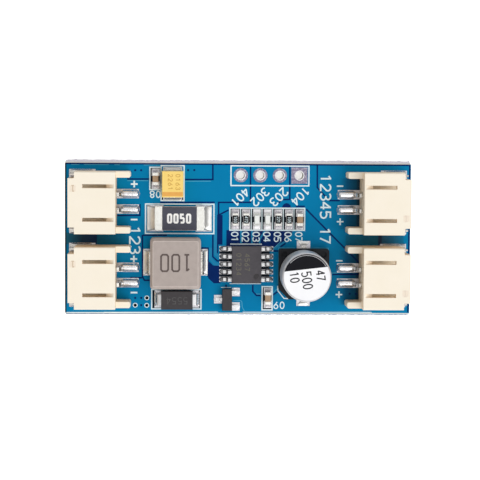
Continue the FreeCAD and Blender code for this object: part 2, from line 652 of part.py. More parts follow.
def socket_housing():
    """Side-entry socket housing, rear face at x = 0 and mouth at x = SOCKET_DEPTH."""
    half = SOCKET_WIDTH / 2
    body = block((0, SOCKET_DEPTH), (-half, half), (0, SOCKET_HEIGHT))
    roof = [edge for edge in straight_edges(body, Vector(1, 0, 0))
            if edge.CenterOfMass.z > SOCKET_HEIGHT - 1e-6]
    body = body.makeChamfer(SOCKET_EDGE_CHAMFER, roof)
    for side in (1, -1):
        outer = sorted((side * half, side * (half - ARM_WIDTH)))
        arm = block((-ARM_LENGTH, 0), outer, (0, ARM_HEIGHT))
        tips = [edge for edge in straight_edges(arm, Z_AXIS)
                if edge.CenterOfMass.x < -ARM_LENGTH + 1e-6]
        body = body.fuse(arm.makeChamfer(ARM_TIP_CHAMFER, tips))
    body = body.removeSplitter()

    nose = SOCKET_DEPTH
    cavity_z = (CAVITY_FLOOR, CAVITY_FLOOR + CAVITY_HEIGHT)
    cavity = block((nose - CAVITY_DEPTH, nose), (-CAVITY_WIDTH / 2, CAVITY_WIDTH / 2), cavity_z)
    body = body.cut(cavity)
    body = body.cut(cavity_lead_in(nose, cavity_z))
    for side in (1, -1):
        notch = sorted((side * half, side * (half - NOTCH_WIDTH)))
        body = body.cut(block((nose - NOTCH_DEPTH, nose), notch, (0, SOCKET_HEIGHT)))
        body = body.cut(window(side * WINDOW_SPACING / 2, nose))
        recess = block((0, CONTACT_RECESS_DEPTH), (-CONTACT_RECESS / 2, CONTACT_RECESS / 2),
                       (-CONTACT_RECESS / 2, CONTACT_RECESS / 2))
        recess.translate(Vector(0, side * SOCKET_PITCH / 2, CONTACT_HEIGHT))
        body = body.cut(recess)
    return body


def cavity_lead_in(nose, cavity_z):
    """Flare at the mouth of the socket that guides the plug in."""
    flare = CAVITY_LEAD_IN
    inner = [Vector(nose - flare, y, z) for y, z in (
        (-CAVITY_WIDTH / 2, cavity_z[0]), (CAVITY_WIDTH / 2, cavity_z[0]),
        (CAVITY_WIDTH / 2, cavity_z[1]), (-CAVITY_WIDTH / 2, cavity_z[1]))]
    outer = [Vector(nose, y, z) for y, z in (
        (-CAVITY_WIDTH / 2 - flare, cavity_z[0] - flare), (CAVITY_WIDTH / 2 + flare, cavity_z[0] - flare),
        (CAVITY_WIDTH / 2 + flare, cavity_z[1] + flare), (-CAVITY_WIDTH / 2 - flare, cavity_z[1] + flare))]
    return hull_between(inner, outer)


def window(y, nose):
    """Slot through the socket's roof whose rear end ramps up to the surface."""
    front = nose - WINDOW_FROM_NOSE
    rear = front - WINDOW_LENGTH
    deep = CAVITY_FLOOR + CAVITY_HEIGHT
    outline = [
        Vector(front, y - WINDOW_WIDTH / 2, SOCKET_HEIGHT),
        Vector(front, y - WINDOW_WIDTH / 2, deep),
        Vector(rear + WINDOW_RAMP, y - WINDOW_WIDTH / 2, deep),
        Vector(rear, y - WINDOW_WIDTH / 2, SOCKET_HEIGHT),
    ]
    return prism(outline, Vector(0, WINDOW_WIDTH, 0))


def contact_pin():
    """Square contact: tapered tip in the cavity, out through the rear wall, down and along the pad."""
    height = CONTACT_HEIGHT
    drop_x = -CONTACT_WALL_GAP - CONTACT_SIZE / 2
    tip = SOCKET_DEPTH - CONTACT_TIP_FROM_NOSE
    path = [
        (tip - CONTACT_TIP_TAPER, height),
        (drop_x, height),
        (drop_x, CONTACT_SIZE / 2),
        (drop_x - CONTACT_SIZE / 2 - CONTACT_FOOT, CONTACT_SIZE / 2),
    ]
    pin = bent_strip(path, CONTACT_BEND, CONTACT_SIZE, CONTACT_SIZE)
    half = CONTACT_SIZE / 2
    small = half / 2
    ends = []
    for x, reach in ((path[0][0], half), (tip, small)):
        corners = [Vector(x, y * reach, height + z * reach)
                   for y, z in ((-1, -1), (1, -1), (1, 1), (-1, 1))]
        ends.append(corners)
    return pin.fuse(hull_between(*ends)).removeSplitter()


def fixing_bracket():
    """Fixing bracket on the +Y side: upright plate in the housing's wing and a foot on its pad."""
    half = SOCKET_WIDTH / 2
    front = SOCKET_DEPTH
    x_span = (front - BRACKET_LENGTH, front)
    plate_y = half - NOTCH_WIDTH / 2
    upright_y = (plate_y - BRACKET_THICKNESS / 2, plate_y + BRACKET_THICKNESS / 2)
    upright = block(x_span, upright_y, (0, BRACKET_HEIGHT))
    foot = block(x_span, (upright_y[0], upright_y[0] + BRACKET_FOOT), (0, BRACKET_THICKNESS))
    return upright.fuse(foot).removeSplitter()


def socket(name, at, turn):
    """One socket with its two contacts, two fixing brackets, their pads and their solder."""
    housing = socket_housing()
    pin = contact_pin()
    bracket = fixing_bracket()
    brackets = [bracket, bracket.mirror(Vector(0, 0, 0), Vector(0, 1, 0))]
    pins = [turned(pin, 0, 0, side * SOCKET_PITCH / 2) for side in (1, -1)]
    for piece in pins + brackets:
        housing = housing.cut(piece)
    add(name + "_housing", [housing], at, turn)
    add(name + "_contacts", pins, at, turn)
    add(name + "_brackets", brackets, at, turn)

    foot_end = -CONTACT_WALL_GAP - CONTACT_SIZE - CONTACT_FOOT
    pad_end = foot_end - CONTACT_PAD_TOE
    half_pad = CONTACT_PAD_WIDTH / 2
    land = pad((pad_end, pad_end + CONTACT_PAD_LENGTH), (-half_pad, half_pad))
    foot = (-foot_end - CONTACT_FOOT + CONTACT_BEND, -foot_end)
    mound = foot_solder(foot, -pad_end, CONTACT_PAD_WIDTH, CONTACT_SIZE, CONTACT_SIZE * SOLDER_SHARE)
    for side in (1, -1):
        offset = side * SOCKET_PITCH / 2
        add("tinned_pads", [turned(land, 0, 0, offset)], at, turn)
        add("socket_solder", [turned(mound, 180, 0, offset)], at, turn)

    half = SOCKET_WIDTH / 2
    nose_pad = SOCKET_DEPTH + BRACKET_PAD_TOE
    fixing_x = (nose_pad - BRACKET_PAD_LENGTH, nose_pad)
    outer = half + BRACKET_PAD_OUT
    for side in (1, -1):
        fixing_y = sorted((side * outer, side * (outer - BRACKET_PAD_WIDTH)))
        add("tinned_pads", [pad(fixing_x, fixing_y)], at, turn)
        middle = side * (half - NOTCH_WIDTH / 2)
        toe = end_solder(SOCKET_DEPTH, nose_pad, NOTCH_WIDTH, BRACKET_FOOT, BRACKET_THICKNESS)
        toe.translate(Vector(0, middle, 0))
        add("socket_solder", [toe], at, turn)


def circuit_board(length, width, header):
    """Bare board: snapped V-groove profile on its long edges, and the header holes."""
    outer = width / 2
    inner = outer - V_CUT_SLOPE
    top = BOARD_THICKNESS
    section = [(-inner, 0), (inner, 0), (outer, V_CUT_DEPTH), (outer, top - V_CUT_DEPTH), (inner, top),
               (-inner, top), (-outer, top - V_CUT_DEPTH), (-outer, V_CUT_DEPTH)]
    corners = [Vector(-length / 2, y, z) for y, z in section]
    board = prism(corners, Vector(length, 0, 0))
    for x, y in header:
        board = board.cut(rod(HEADER_HOLE_RADIUS, (0, top), x, y))
        board = board.cut(rod(HEADER_PAD_RADIUS, (0, PAD_THICKNESS), x, y))
    nodes["circuit_board"] = [board]


def hole_pads(x, y, square):
    """Ring let into the underside round a header hole, and a ring or square pad on the top face."""
    top_z = (BOARD_THICKNESS, SEAT_Z)
    if square:
        upper = centred_block(HEADER_SQUARE_PAD, HEADER_SQUARE_PAD, top_z)
        upper.translate(Vector(x, y, 0))
    else:
        upper = rod(HEADER_PAD_RADIUS, top_z, x, y)
    lower = rod(HEADER_PAD_RADIUS, (0, PAD_THICKNESS), x, y)
    hole = rod(HEADER_HOLE_RADIUS, (0, SEAT_Z), x, y)
    return [upper.cut(hole), lower.cut(hole)]


def main():
    """Lays the board out from its neighbours' sizes and gaps, builds each part and writes the files."""
    rear_to_nose_pad = SOCKET_DEPTH + BRACKET_PAD_TOE
    rear_to_contact_pad = CONTACT_WALL_GAP + CONTACT_SIZE + CONTACT_FOOT + CONTACT_PAD_TOE
    socket_span = rear_to_nose_pad + rear_to_contact_pad
    chip_end = CHIP_BODY_X / 2 + CHIP_LEAD_SHOULDER + CHIP_LEAD_DROP + CHIP_LEAD_FOOT + CHIP_PAD_TOE
    row_of_sizes = [
        END_TO_SOCKET, socket_span, SOCKET_TO_INDUCTOR, INDUCTOR_PAD_SPAN, INDUCTOR_TO_CHIP,
        2 * chip_end, CHIP_TO_SEAT, SEAT_SIZE, SEAT_TO_SOCKET, socket_span, END_TO_SOCKET,
    ]
    length = sum(row_of_sizes)
    socket_column = [EDGE_TO_BOARD_SOCKET, SOCKET_WIDTH, BETWEEN_SOCKETS, SOCKET_WIDTH,
                     EDGE_TO_BOARD_SOCKET]
    left_column = [EDGE_TO_TANTALUM, TANTALUM_PAD_SPAN, TANTALUM_TO_SENSE, SENSE_PAD_WIDTH,
                   SENSE_TO_INDUCTOR, INDUCTOR_WIDTH, INDUCTOR_TO_DIODE, DIODE_WIDTH, DIODE_TO_EDGE]
    middle_column = [EDGE_TO_HEADER, HEADER_SQUARE_PAD, HEADER_TO_ROW, SMALL_PAD_SPAN, ROW_TO_CHIP,
                     CHIP_BODY_Y, CHIP_TO_TRANSISTOR, TRANSISTOR_BODY_Y, TRANSISTOR_TO_EDGE]
    width = max(sum(socket_column), sum(left_column), sum(middle_column))
    left, top, bottom = -length / 2, width / 2, -width / 2

    socket_x = length / 2 - END_TO_SOCKET - rear_to_nose_pad
    socket_y = top - EDGE_TO_BOARD_SOCKET - SOCKET_WIDTH / 2
    inductor_x = left + sum(row_of_sizes[:3]) + INDUCTOR_PAD_SPAN / 2
    chip_x = left + sum(row_of_sizes[:5]) + chip_end
    seat_x = left + sum(row_of_sizes[:7]) + SEAT_SIZE / 2

    tantalum_y = top - EDGE_TO_TANTALUM - TANTALUM_PAD_SPAN / 2
    sense_y = top - sum(left_column[:3]) - SENSE_PAD_WIDTH / 2
    diode_y = bottom + DIODE_TO_EDGE + DIODE_WIDTH / 2
    inductor_y = bottom + sum(left_column[6:]) + INDUCTOR_WIDTH / 2
    tantalum_x = inductor_x + TANTALUM_ALONG_INDUCTOR
    filter_x = tantalum_x - TANTALUM_PAD_WIDTH / 2 - TANTALUM_TO_FILTER - SMALL_PAD_WIDTH / 2

    header_y = top - EDGE_TO_HEADER - HEADER_SQUARE_PAD / 2
    row_y = top - sum(middle_column[:3]) - SMALL_PAD_SPAN / 2
    transistor_y = bottom + TRANSISTOR_TO_EDGE + TRANSISTOR_BODY_Y / 2
    chip_y = bottom + sum(middle_column[6:]) + CHIP_BODY_Y / 2
    bypass_y = chip_y - CHIP_BODY_Y / 2 - CHIP_TO_BYPASS - SMALL_PAD_SPAN / 2
    header = [(chip_x + HEADER_ALONG_CHIP + (index - (HEADER_HOLES - 1) / 2) * HEADER_PITCH, header_y)
              for index in range(HEADER_HOLES)]
    row_x = [chip_x + ROW_ALONG_CHIP + (index - 3) * SMALL_ROW_PITCH for index in range(7)]

    circuit_board(length, width, header)
    nodes["header_pads"] = []
    for index, (x, y) in enumerate(header):
        nodes["header_pads"] += hole_pads(x, y, square=index == HEADER_HOLES - 1)

    socket("battery_socket_1", (-socket_x, socket_y), 180)
    socket("battery_socket_2", (-socket_x, -socket_y), 180)
    socket("solar_socket_1", (socket_x, socket_y), 0)
    socket("solar_socket_2", (socket_x, -socket_y), 0)
    inductor((inductor_x, inductor_y))
    diode((inductor_x + DIODE_ALONG_INDUCTOR, diode_y))
    tantalum((tantalum_x, tantalum_y))
    chip_part("sense_resistor", (inductor_x + SENSE_ALONG_INDUCTOR, sense_y), 0,
              (SENSE_LENGTH, SENSE_WIDTH, SENSE_HEIGHT, SENSE_BAND, SENSE_PLATING),
              (SENSE_PAD_SPAN, SENSE_PAD_LENGTH, SENSE_PAD_WIDTH), SENSE_COAT, "sense_resistor_coat")
    controller_chip((chip_x, chip_y))
    transistor((chip_x + TRANSISTOR_ALONG_CHIP, transistor_y))
    electrolytic((seat_x, chip_y - SEAT_BELOW_CHIP))

    small_pads = (SMALL_PAD_SPAN, SMALL_PAD_LENGTH, SMALL_PAD_WIDTH)
    resistor = (SMALL_LENGTH, SMALL_WIDTH, RESISTOR_HEIGHT, RESISTOR_BAND, SMALL_PLATING)
    ceramic = (SMALL_LENGTH, SMALL_WIDTH, CERAMIC_HEIGHT, CERAMIC_BAND, SMALL_PLATING)
    for number, column in enumerate((0, 1, 4, 5), start=1):
        chip_part(f"resistor_{number}", (row_x[column], row_y), 90, resistor, small_pads,
                  RESISTOR_COAT, "resistor_coats")
    lamp("charging_lamp", (row_x[2], row_y), 90)
    lamp("charged_lamp", (row_x[3], row_y), 90)
    chip_part("input_capacitor", (row_x[6], row_y), 90, ceramic, small_pads)
    chip_part("filter_capacitor", (filter_x, tantalum_y + FILTER_ABOVE_TANTALUM), 90, ceramic, small_pads)
    chip_part("bypass_capacitor", (chip_x + BYPASS_ALONG_CHIP, bypass_y), 90, ceramic, small_pads)

    os.makedirs("parts", exist_ok=True)
    for name, shapes in nodes.items():
        shape = shapes[0] if len(shapes) == 1 else Part.makeCompound(shapes)
        shape.exportStep(f"parts/{name}.step")
    print(f"board {length:.2f} x {width:.2f}, {len(nodes)} nodes")
    print("header", [(round(x, 3), round(y, 3)) for x, y in header])


main()
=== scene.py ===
"""Dressed scene of a solar charger module: finishes for the solid parts, and the board's print,
copper gaps, solder, can and lamps as surfaces of their own.

Lengths are millimetres in the row frame until a mesh is written, where they become metres.
"""
import logging
import math
from dataclasses import dataclass, field
from enum import Enum

import bmesh
import bpy
import numpy as np
from mathutils import Matrix, Vector


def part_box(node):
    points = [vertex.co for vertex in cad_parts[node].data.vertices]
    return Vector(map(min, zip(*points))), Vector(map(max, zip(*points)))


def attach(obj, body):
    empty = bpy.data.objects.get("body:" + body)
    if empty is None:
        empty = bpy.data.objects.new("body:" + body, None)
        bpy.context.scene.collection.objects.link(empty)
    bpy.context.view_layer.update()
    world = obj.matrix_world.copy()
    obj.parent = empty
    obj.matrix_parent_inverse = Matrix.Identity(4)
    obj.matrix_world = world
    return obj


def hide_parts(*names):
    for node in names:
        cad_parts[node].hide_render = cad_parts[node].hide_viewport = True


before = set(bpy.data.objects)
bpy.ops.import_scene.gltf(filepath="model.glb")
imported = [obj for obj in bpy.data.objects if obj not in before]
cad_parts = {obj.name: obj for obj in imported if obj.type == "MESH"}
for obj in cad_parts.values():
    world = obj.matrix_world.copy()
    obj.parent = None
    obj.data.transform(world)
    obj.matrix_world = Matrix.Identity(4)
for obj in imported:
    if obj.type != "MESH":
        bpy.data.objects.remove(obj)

log = logging.getLogger("scene")

MM = 0.001
BODY = "root"
BOARD_TOP = round(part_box("circuit_board")[1].z / MM, 4)
PAD_TOP = round(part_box("tinned_pads")[1].z / MM, 4)

Point = tuple[float, float]
Box = tuple[float, float, float, float]
Colour = tuple[float, float, float]

materials: dict[str, bpy.types.Material] = {}


def linear(red: float, green: float, blue: float) -> Colour:
    """Scene-linear colour of an sRGB colour given in 0 to 255.

    Args:
        red: Red value.
        green: Green value.
        blue: Blue value.

    Returns:
        The three linear values in 0 to 1.
    """
    values = []
    for value in (red, green, blue):
        share = value / 255
        values.append(share / 12.92 if share <= 0.04045 else ((share + 0.055) / 1.055) ** 2.4)
    return tuple(values)


class Side(Enum):
    """End of the board that a socket stands at; the value is the sign of its X."""

    BATTERY = -1
    SOLAR = 1


class Turn(Enum):
    """How far a line of print is turned, in degrees."""

    UPRIGHT = 0
    DOWNWARDS = -90
    REVERSED = 180
    SLANTED = 225
    CAN = -82


# Finishes


class Graph:
    """Small helper that adds and wires the shader nodes of one material or world."""

    def __init__(self, owner: bpy.types.Material | bpy.types.World, output: str) -> None:
        """Empties the owner's node tree and gives it an output.

        Args:
            owner: Material or world.
            output: Node type of its output.
        """
        self.owner = owner
        self.owner.use_nodes = True
        self.tree = self.owner.node_tree
        self.tree.nodes.clear()
        self.output = self.add(output)

    def add(self, kind: str, **inputs: object) -> bpy.types.Node:
        """Adds a node and sets or links its inputs.

        Args:
            kind: Node type.
            **inputs: Socket name with underscores for spaces, and a value or an output socket.

        Returns:
            The new node.
        """
        node = self.tree.nodes.new(kind)
        for name, value in inputs.items():
            socket = node.inputs[name.replace("_", " ")]
            if isinstance(value, bpy.types.NodeSocket):
                self.tree.links.new(value, socket)
            else:
                socket.default_value = value
        return node

    def math(self, operation: str, *values: object) -> bpy.types.NodeSocket:
        """Adds a maths node.

        Args:
            operation: Operation name.
            *values: One to three values or sockets.

        Returns:
            The result socket.
        """
        node = self.tree.nodes.new("ShaderNodeMath")
        node.operation = operation
        for socket, value in zip(node.inputs, values):
            if isinstance(value, bpy.types.NodeSocket):
                self.tree.links.new(value, socket)
            else:
                socket.default_value = value
        return node.outputs[0]

    def mix(self, factor: object, first: object, second: object) -> bpy.types.NodeSocket:
        """Mixes two colours.

        Args:
            factor: Share of the second colour, as a value or a socket.
            first: First colour, as a triple or a socket.
            second: Second colour, as a triple or a socket.

        Returns:
            The colour socket.
        """
        node = self.tree.nodes.new("ShaderNodeMix")
        node.data_type = "RGBA"
        for socket, value in zip((node.inputs[0], node.inputs[6], node.inputs[7]),
                                 (factor, first, second)):
            if isinstance(value, bpy.types.NodeSocket):
                self.tree.links.new(value, socket)
            elif isinstance(value, tuple):
                socket.default_value = (*value, 1.0)
            else:
                socket.default_value = value
        return node.outputs[2]

    def noise(self, scale: float, detail: float = 3.0, stretch: Colour = (1.0, 1.0, 1.0)
              ) -> bpy.types.NodeSocket:
        """Adds noise in object coordinates.

        Args:
            scale: Noise scale per metre.
            detail: Octaves.
            stretch: Scale along each axis.

        Returns:
            The noise value socket.
        """
        coordinates = self.add("ShaderNodeTexCoord")
        mapping = self.add("ShaderNodeMapping", Vector=coordinates.outputs["Object"], Scale=stretch)
        noise = self.add("ShaderNodeTexNoise", Vector=mapping.outputs[0], Scale=scale,
                         Detail=detail)
        return noise.outputs["Fac"]

    def position(self) -> bpy.types.Node:
        """Adds the object coordinates, split in X, Y and Z.

        Returns:
            The separating node.
        """
        coordinates = self.add("ShaderNodeTexCoord")
        return self.add("ShaderNodeSeparateXYZ", Vector=coordinates.outputs["Object"])

    def ramp(self, place: object, stops: tuple[tuple[float, Colour], ...]
             ) -> bpy.types.NodeSocket:
        """Adds a colour that is blended in straight lines between stops.

        Args:
            place: Value or socket that picks the colour, from 0 to 1.
            stops: Place and colour of each stop, the first at 0 and the last at 1.

        Returns:
            The colour socket.
        """
        node = self.add("ShaderNodeValToRGB", Fac=place)
        elements = node.color_ramp.elements
        elements[0].color = (*stops[0][1], 1.0)
        elements[1].color = (*stops[-1][1], 1.0)
        for spot, colour in stops[1:-1]:
            elements.new(spot).color = (*colour, 1.0)
        return node.outputs["Color"]

    def finish(self, surface: bpy.types.NodeSocket) -> None:
        """Links a shader to the output.

        Args:
            surface: Shader socket.
        """
        self.tree.links.new(surface, self.output.inputs["Surface"])


def material_graph(name: str) -> Graph:
    """Empty graph of a new material.

    Args:
        name: Name of the material.

    Returns:
        The graph.
    """
    return Graph(bpy.data.materials.new(name), "ShaderNodeOutputMaterial")


@dataclass(frozen=True)
class Finish:
    """Finish with mottled colour, uneven gloss, fine relief and softened edges.

    The base colour is mixed with the second one by noise, and a finer noise makes the gloss
    uneven. Relief is a bump by another noise. Mottle and relief are noise scales per metre, and
    the depth of the relief and the radius of the softened edge are in millimetres.
    """

    name: str
    colour: Colour
    second: Colour
    roughness: float = 0.5
    metallic: float = 0.0
    mottle: float = 900.0
    mottle_share: float = 0.5
    relief: float = 4000.0
    relief_depth: float = 0.01
    edge: float = 0.03
    specular: float = 0.5
    stretch: Colour = (1.0, 1.0, 1.0)

    def colour_of(self, graph: Graph) -> bpy.types.NodeSocket:
        """Mottled colour.

        Args:
            graph: Graph to add to.

        Returns:
            The colour socket.
        """
        share = graph.math("MULTIPLY", graph.noise(self.mottle, stretch=self.stretch),
                           2 * self.mottle_share)
        return graph.mix(share, self.colour, self.second)

    def material(self) -> bpy.types.Material:
        """Builds the material, or returns it if it exists.

        Returns:
            The material.
        """
        if self.name in materials:
            return materials[self.name]
        graph = material_graph(self.name)
        gloss = graph.math("MULTIPLY_ADD", graph.noise(self.mottle * 2.3),
                           0.3 * self.roughness, 0.85 * self.roughness)
        bump = graph.add("ShaderNodeBump", Strength=1.0, Distance=self.relief_depth * MM,
                         Height=graph.noise(self.relief, 4.0, self.stretch))
        if self.edge > 0:
            bevel = graph.add("ShaderNodeBevel", Radius=self.edge * MM)
            bevel.samples = 4
            graph.tree.links.new(bevel.outputs[0], bump.inputs["Normal"])
        shader = graph.add("ShaderNodeBsdfPrincipled", Base_Color=self.colour_of(graph),
                           Roughness=gloss, Metallic=self.metallic, Normal=bump.outputs[0],
                           Specular_IOR_Level=self.specular)
        graph.finish(shader.outputs[0])
        materials[self.name] = graph.owner
        return graph.owner


@dataclass(frozen=True)
class MaskFinish(Finish):
    """Blue solder mask on both faces and bare fibre laminate on the cut edges.

    A point shows laminate where its face leans from level by more than about 25 degrees. The
    fibre is noise drawn out along the edge.
    """

    fibre: Colour = linear(252, 250, 240)
    fibre_dark: Colour = linear(206, 202, 186)

    def colour_of(self, graph: Graph) -> bpy.types.NodeSocket:
        """Mask on level faces, fibre on the others.

        Args:
            graph: Graph to add to.

        Returns:
            The colour socket.
        """
        mask = super().colour_of(graph)
        fibre = graph.mix(graph.noise(2600, 6.0, (0.35, 1.0, 2.0)), self.fibre_dark, self.fibre)
        geometry = graph.add("ShaderNodeNewGeometry")
        lean = graph.add("ShaderNodeSeparateXYZ", Vector=geometry.outputs["True Normal"])
        level = graph.math("ABSOLUTE", lean.outputs["Z"])
        return graph.mix(graph.math("GREATER_THAN", level, 0.9), fibre, mask)


@dataclass(frozen=True)
class WallFinish(Finish):
    """Finish whose upright walls have another tone than its level faces.

    The wall tone is painted: warmer, darker nylon walls are painted shade, and the dark bends of a
    plated lead are a painted reflection of dark surroundings.
    """

    wall: Colour = linear(243, 220, 188)

    def colour_of(self, graph: Graph) -> bpy.types.NodeSocket:
        """Plain tone on level faces, wall tone where a face leans by more than 45 degrees.

        Args:
            graph: Graph to add to.

        Returns:
            The colour socket.
        """
        level = super().colour_of(graph)
        geometry = graph.add("ShaderNodeNewGeometry")
        lean = graph.add("ShaderNodeSeparateXYZ", Vector=geometry.outputs["True Normal"])
        height = graph.math("ABSOLUTE", lean.outputs["Z"])
        return graph.mix(graph.math("GREATER_THAN", height, 0.7), self.wall, level)


@dataclass(frozen=True)
class BandFinish(Finish):
    """Finish whose colour changes along X.

    The colour is blended in straight lines between stops. A stop is a place in millimetres and
    the colour there.
    """

    stops: tuple[tuple[float, Colour], ...] = ()

    def colour_of(self, graph: Graph) -> bpy.types.NodeSocket:
        """Colour by place along X, mottled towards the second colour.

        Args:
            graph: Graph to add to.

        Returns:
            The colour socket.
        """
        first, span = self.stops[0][0], self.stops[-1][0] - self.stops[0][0]
        place = graph.math("SUBTRACT", graph.position().outputs["X"], first * MM)
        bands = graph.ramp(graph.math("DIVIDE", place, span * MM),
                           tuple(((spot - first) / span, colour) for spot, colour in self.stops))
        share = graph.math("MULTIPLY", graph.noise(self.mottle), self.mottle_share)
        return graph.mix(share, bands, self.second)


class Finishes:
    """The finishes of the module, one attribute each."""

    MASK = MaskFinish("solder_mask", linear(0, 132, 182), linear(0, 118, 168), roughness=0.4,
                      mottle=160, relief=2500, relief_depth=0.004, edge=0.01, specular=0.06)
    GAP = Finish("mask_over_laminate", linear(0, 44, 108), linear(0, 30, 86), roughness=0.4,
                 mottle=700, relief_depth=0.003, edge=0, specular=0.06)
    # Near-black laminate tone, darkened as painted shade inside the boxes and by the chip's leads.
    DEEP_PAINTED_SHADE = Finish("laminate_painted_shade", linear(8, 26, 42), linear(4, 16, 28), roughness=0.5,
                  mottle=1700, relief_depth=0.003, edge=0, specular=0.12)
    # Board between each end's sockets: painted shade from the housings and brackets, with a darker
    # band at a copper gap.
    BATTERY_CHANNEL_PAINTED_SHADE = BandFinish(
        "battery_channel_painted_shade", linear(0, 120, 168), linear(4, 40, 66), roughness=0.5, mottle=2200,
        mottle_share=0.3, relief_depth=0.003, edge=0, specular=0.1, stops=(
            (-22.3, linear(32, 110, 136)), (-20.2, linear(36, 64, 88)),
            (-18.36, linear(20, 50, 94)), (-18.3, linear(18, 100, 134)),
            (-14.2, linear(0, 126, 176))))
    SOLAR_CHANNEL_PAINTED_SHADE = BandFinish(
        "solar_channel_painted_shade", linear(0, 120, 168), linear(4, 40, 66), roughness=0.5, mottle=2200,
        mottle_share=0.3, relief_depth=0.003, edge=0, specular=0.1, stops=(
            (14.0, linear(8, 118, 162)), (18.26, linear(26, 102, 132)),
            (18.3, linear(34, 52, 84)), (18.7, linear(34, 52, 84)),
            (18.75, linear(40, 90, 122)), (21.6, linear(12, 122, 166))))
    # Painted shade on the board beside the solar sockets, darkest at their noses.
    SOCKET_FOOT_PAINTED_SHADE = BandFinish(
        "socket_foot_painted_shade", linear(0, 120, 168), linear(4, 40, 66), roughness=0.5, mottle=2200,
        mottle_share=0.15, relief_depth=0.003, edge=0, specular=0.08, stops=(
            (13.2, linear(0, 128, 178)), (14.15, linear(10, 94, 138)),
            (15.3, linear(14, 84, 118)), (15.55, linear(28, 60, 80))))
    TRACE = Finish("mask_over_trace", linear(34, 138, 182), linear(20, 124, 170), roughness=0.4,
                   mottle=700, relief_depth=0.003, edge=0, specular=0.12)
    # Paler mask for lines of painted highlight along copper edges.
    PALE_PAINTED_HIGHLIGHT = Finish("mask_painted_highlight", linear(96, 180, 206), linear(70, 160, 192), roughness=0.45,
                  mottle=900, relief_depth=0.003, edge=0, specular=0.12)
    SILK = Finish("silk_print", linear(238, 250, 252), linear(214, 236, 242), roughness=0.6,
                  mottle=2500, relief_depth=0.006, edge=0, specular=0.2)
    WHITE_MARK = Finish("resistor_print", linear(252, 252, 250), linear(244, 244, 242),
                        roughness=0.6, mottle=2500, relief_depth=0.004, edge=0, specular=0.2)
    FIBRE = Finish("snapped_fibre", linear(255, 255, 255), linear(222, 216, 230), roughness=0.7,
                   mottle=7000, mottle_share=0.7, relief=6000, relief_depth=0.05, edge=0,
                   specular=0.2, stretch=(0.5, 1.0, 1.0))
    # Darker, bluish copy of the fibre for the front edge: painted shade.
    FIBRE_SHADE = Finish("snapped_fibre_painted_shade", linear(104, 132, 164), linear(70, 100, 140),
                         roughness=0.7, mottle=7000, mottle_share=0.7, relief=6000,
                         relief_depth=0.05, edge=0, specular=0.2, stretch=(0.5, 1.0, 1.0))
    # The nylon's warmer, darker walls are painted shade.
    NYLON = WallFinish("socket_nylon", linear(251, 242, 226), linear(246, 236, 216),
                       roughness=0.45, mottle=350, relief=5000, relief_depth=0.006, edge=0.06,
                       specular=0.3)
    # The moulded figure and its ground, drawn darker than the nylon: painted shade of the relief;
    # the faint copy is for the solar sockets.
    NYLON_MARK_PAINTED_SHADE = Finish("socket_mark", linear(206, 184, 158), linear(222, 202, 176),
                        roughness=0.5, mottle=2500, edge=0, specular=0.3)
    NYLON_FAINT_PAINTED_SHADE = Finish("faint_socket_mark_painted_shade", linear(232, 216, 198), linear(238, 224, 206),
                         roughness=0.5, mottle=2500, edge=0, specular=0.3)
    NYLON_GROUND_PAINTED_SHADE = Finish("socket_mark_ground", linear(248, 235, 216), linear(238, 223, 204),
                         roughness=0.5, mottle=1500, edge=0, specular=0.3)
    TIN = Finish("tinned_contact", linear(225, 222, 216), linear(176, 172, 166), roughness=0.2,
                 metallic=1.0, mottle=1800, relief=2600, relief_depth=0.02, edge=0.06)
    PAD = Finish("levelled_tin", linear(240, 240, 242), linear(188, 184, 192), roughness=0.3,
                 metallic=0.7, mottle=2600, relief=3000, relief_depth=0.03, edge=0.02)
    RING = Finish("hole_ring", linear(232, 228, 238), linear(128, 120, 146), roughness=0.4,
                  metallic=0.3, mottle=4200, mottle_share=0.9, relief=5200, relief_depth=0.04,
                  edge=0.02)
    # The lead's dark upright parts are a painted reflection of dark surroundings.
    LEAD = WallFinish("plated_lead", linear(255, 255, 255), linear(232, 232, 234), roughness=0.3,
                      metallic=0.35, mottle=2600, relief=3200, relief_depth=0.015, edge=0.05,
                      wall=linear(92, 90, 94))
    PLATE = Finish("plated_pad", linear(255, 255, 255), linear(230, 228, 232), roughness=0.3,
                   metallic=0.3, mottle=2600, relief=3200, relief_depth=0.01, edge=0)
    JOINT = Finish("small_joint", linear(255, 255, 255), linear(188, 184, 192), roughness=0.26,
                   metallic=0.3, mottle=4200, mottle_share=0.8, relief=3600,
                   relief_depth=0.03, edge=0)
    CHIP_JOINT = Finish("chip_joint", linear(236, 236, 236), linear(92, 92, 96), roughness=0.22,
                        metallic=0.6, mottle=4600, mottle_share=0.95, relief=3600,
                        relief_depth=0.04, edge=0)
    SOLDER = Finish("bright_solder", linear(246, 246, 248), linear(214, 212, 214), roughness=0.2,
                    metallic=0.85, mottle=1600, relief=2100, relief_depth=0.014, edge=0.01)
    FILLET = Finish("smooth_solder", linear(246, 246, 244), linear(212, 210, 206), roughness=0.3,
                    metallic=0.7, mottle=1300, relief=1500, relief_depth=0.012, edge=0.01)
    IRON = Finish("pressed_iron", linear(184, 172, 166), linear(168, 156, 150), roughness=0.6,
                  mottle=1500, relief=5200, relief_depth=0.03, edge=0.14, specular=0.3)
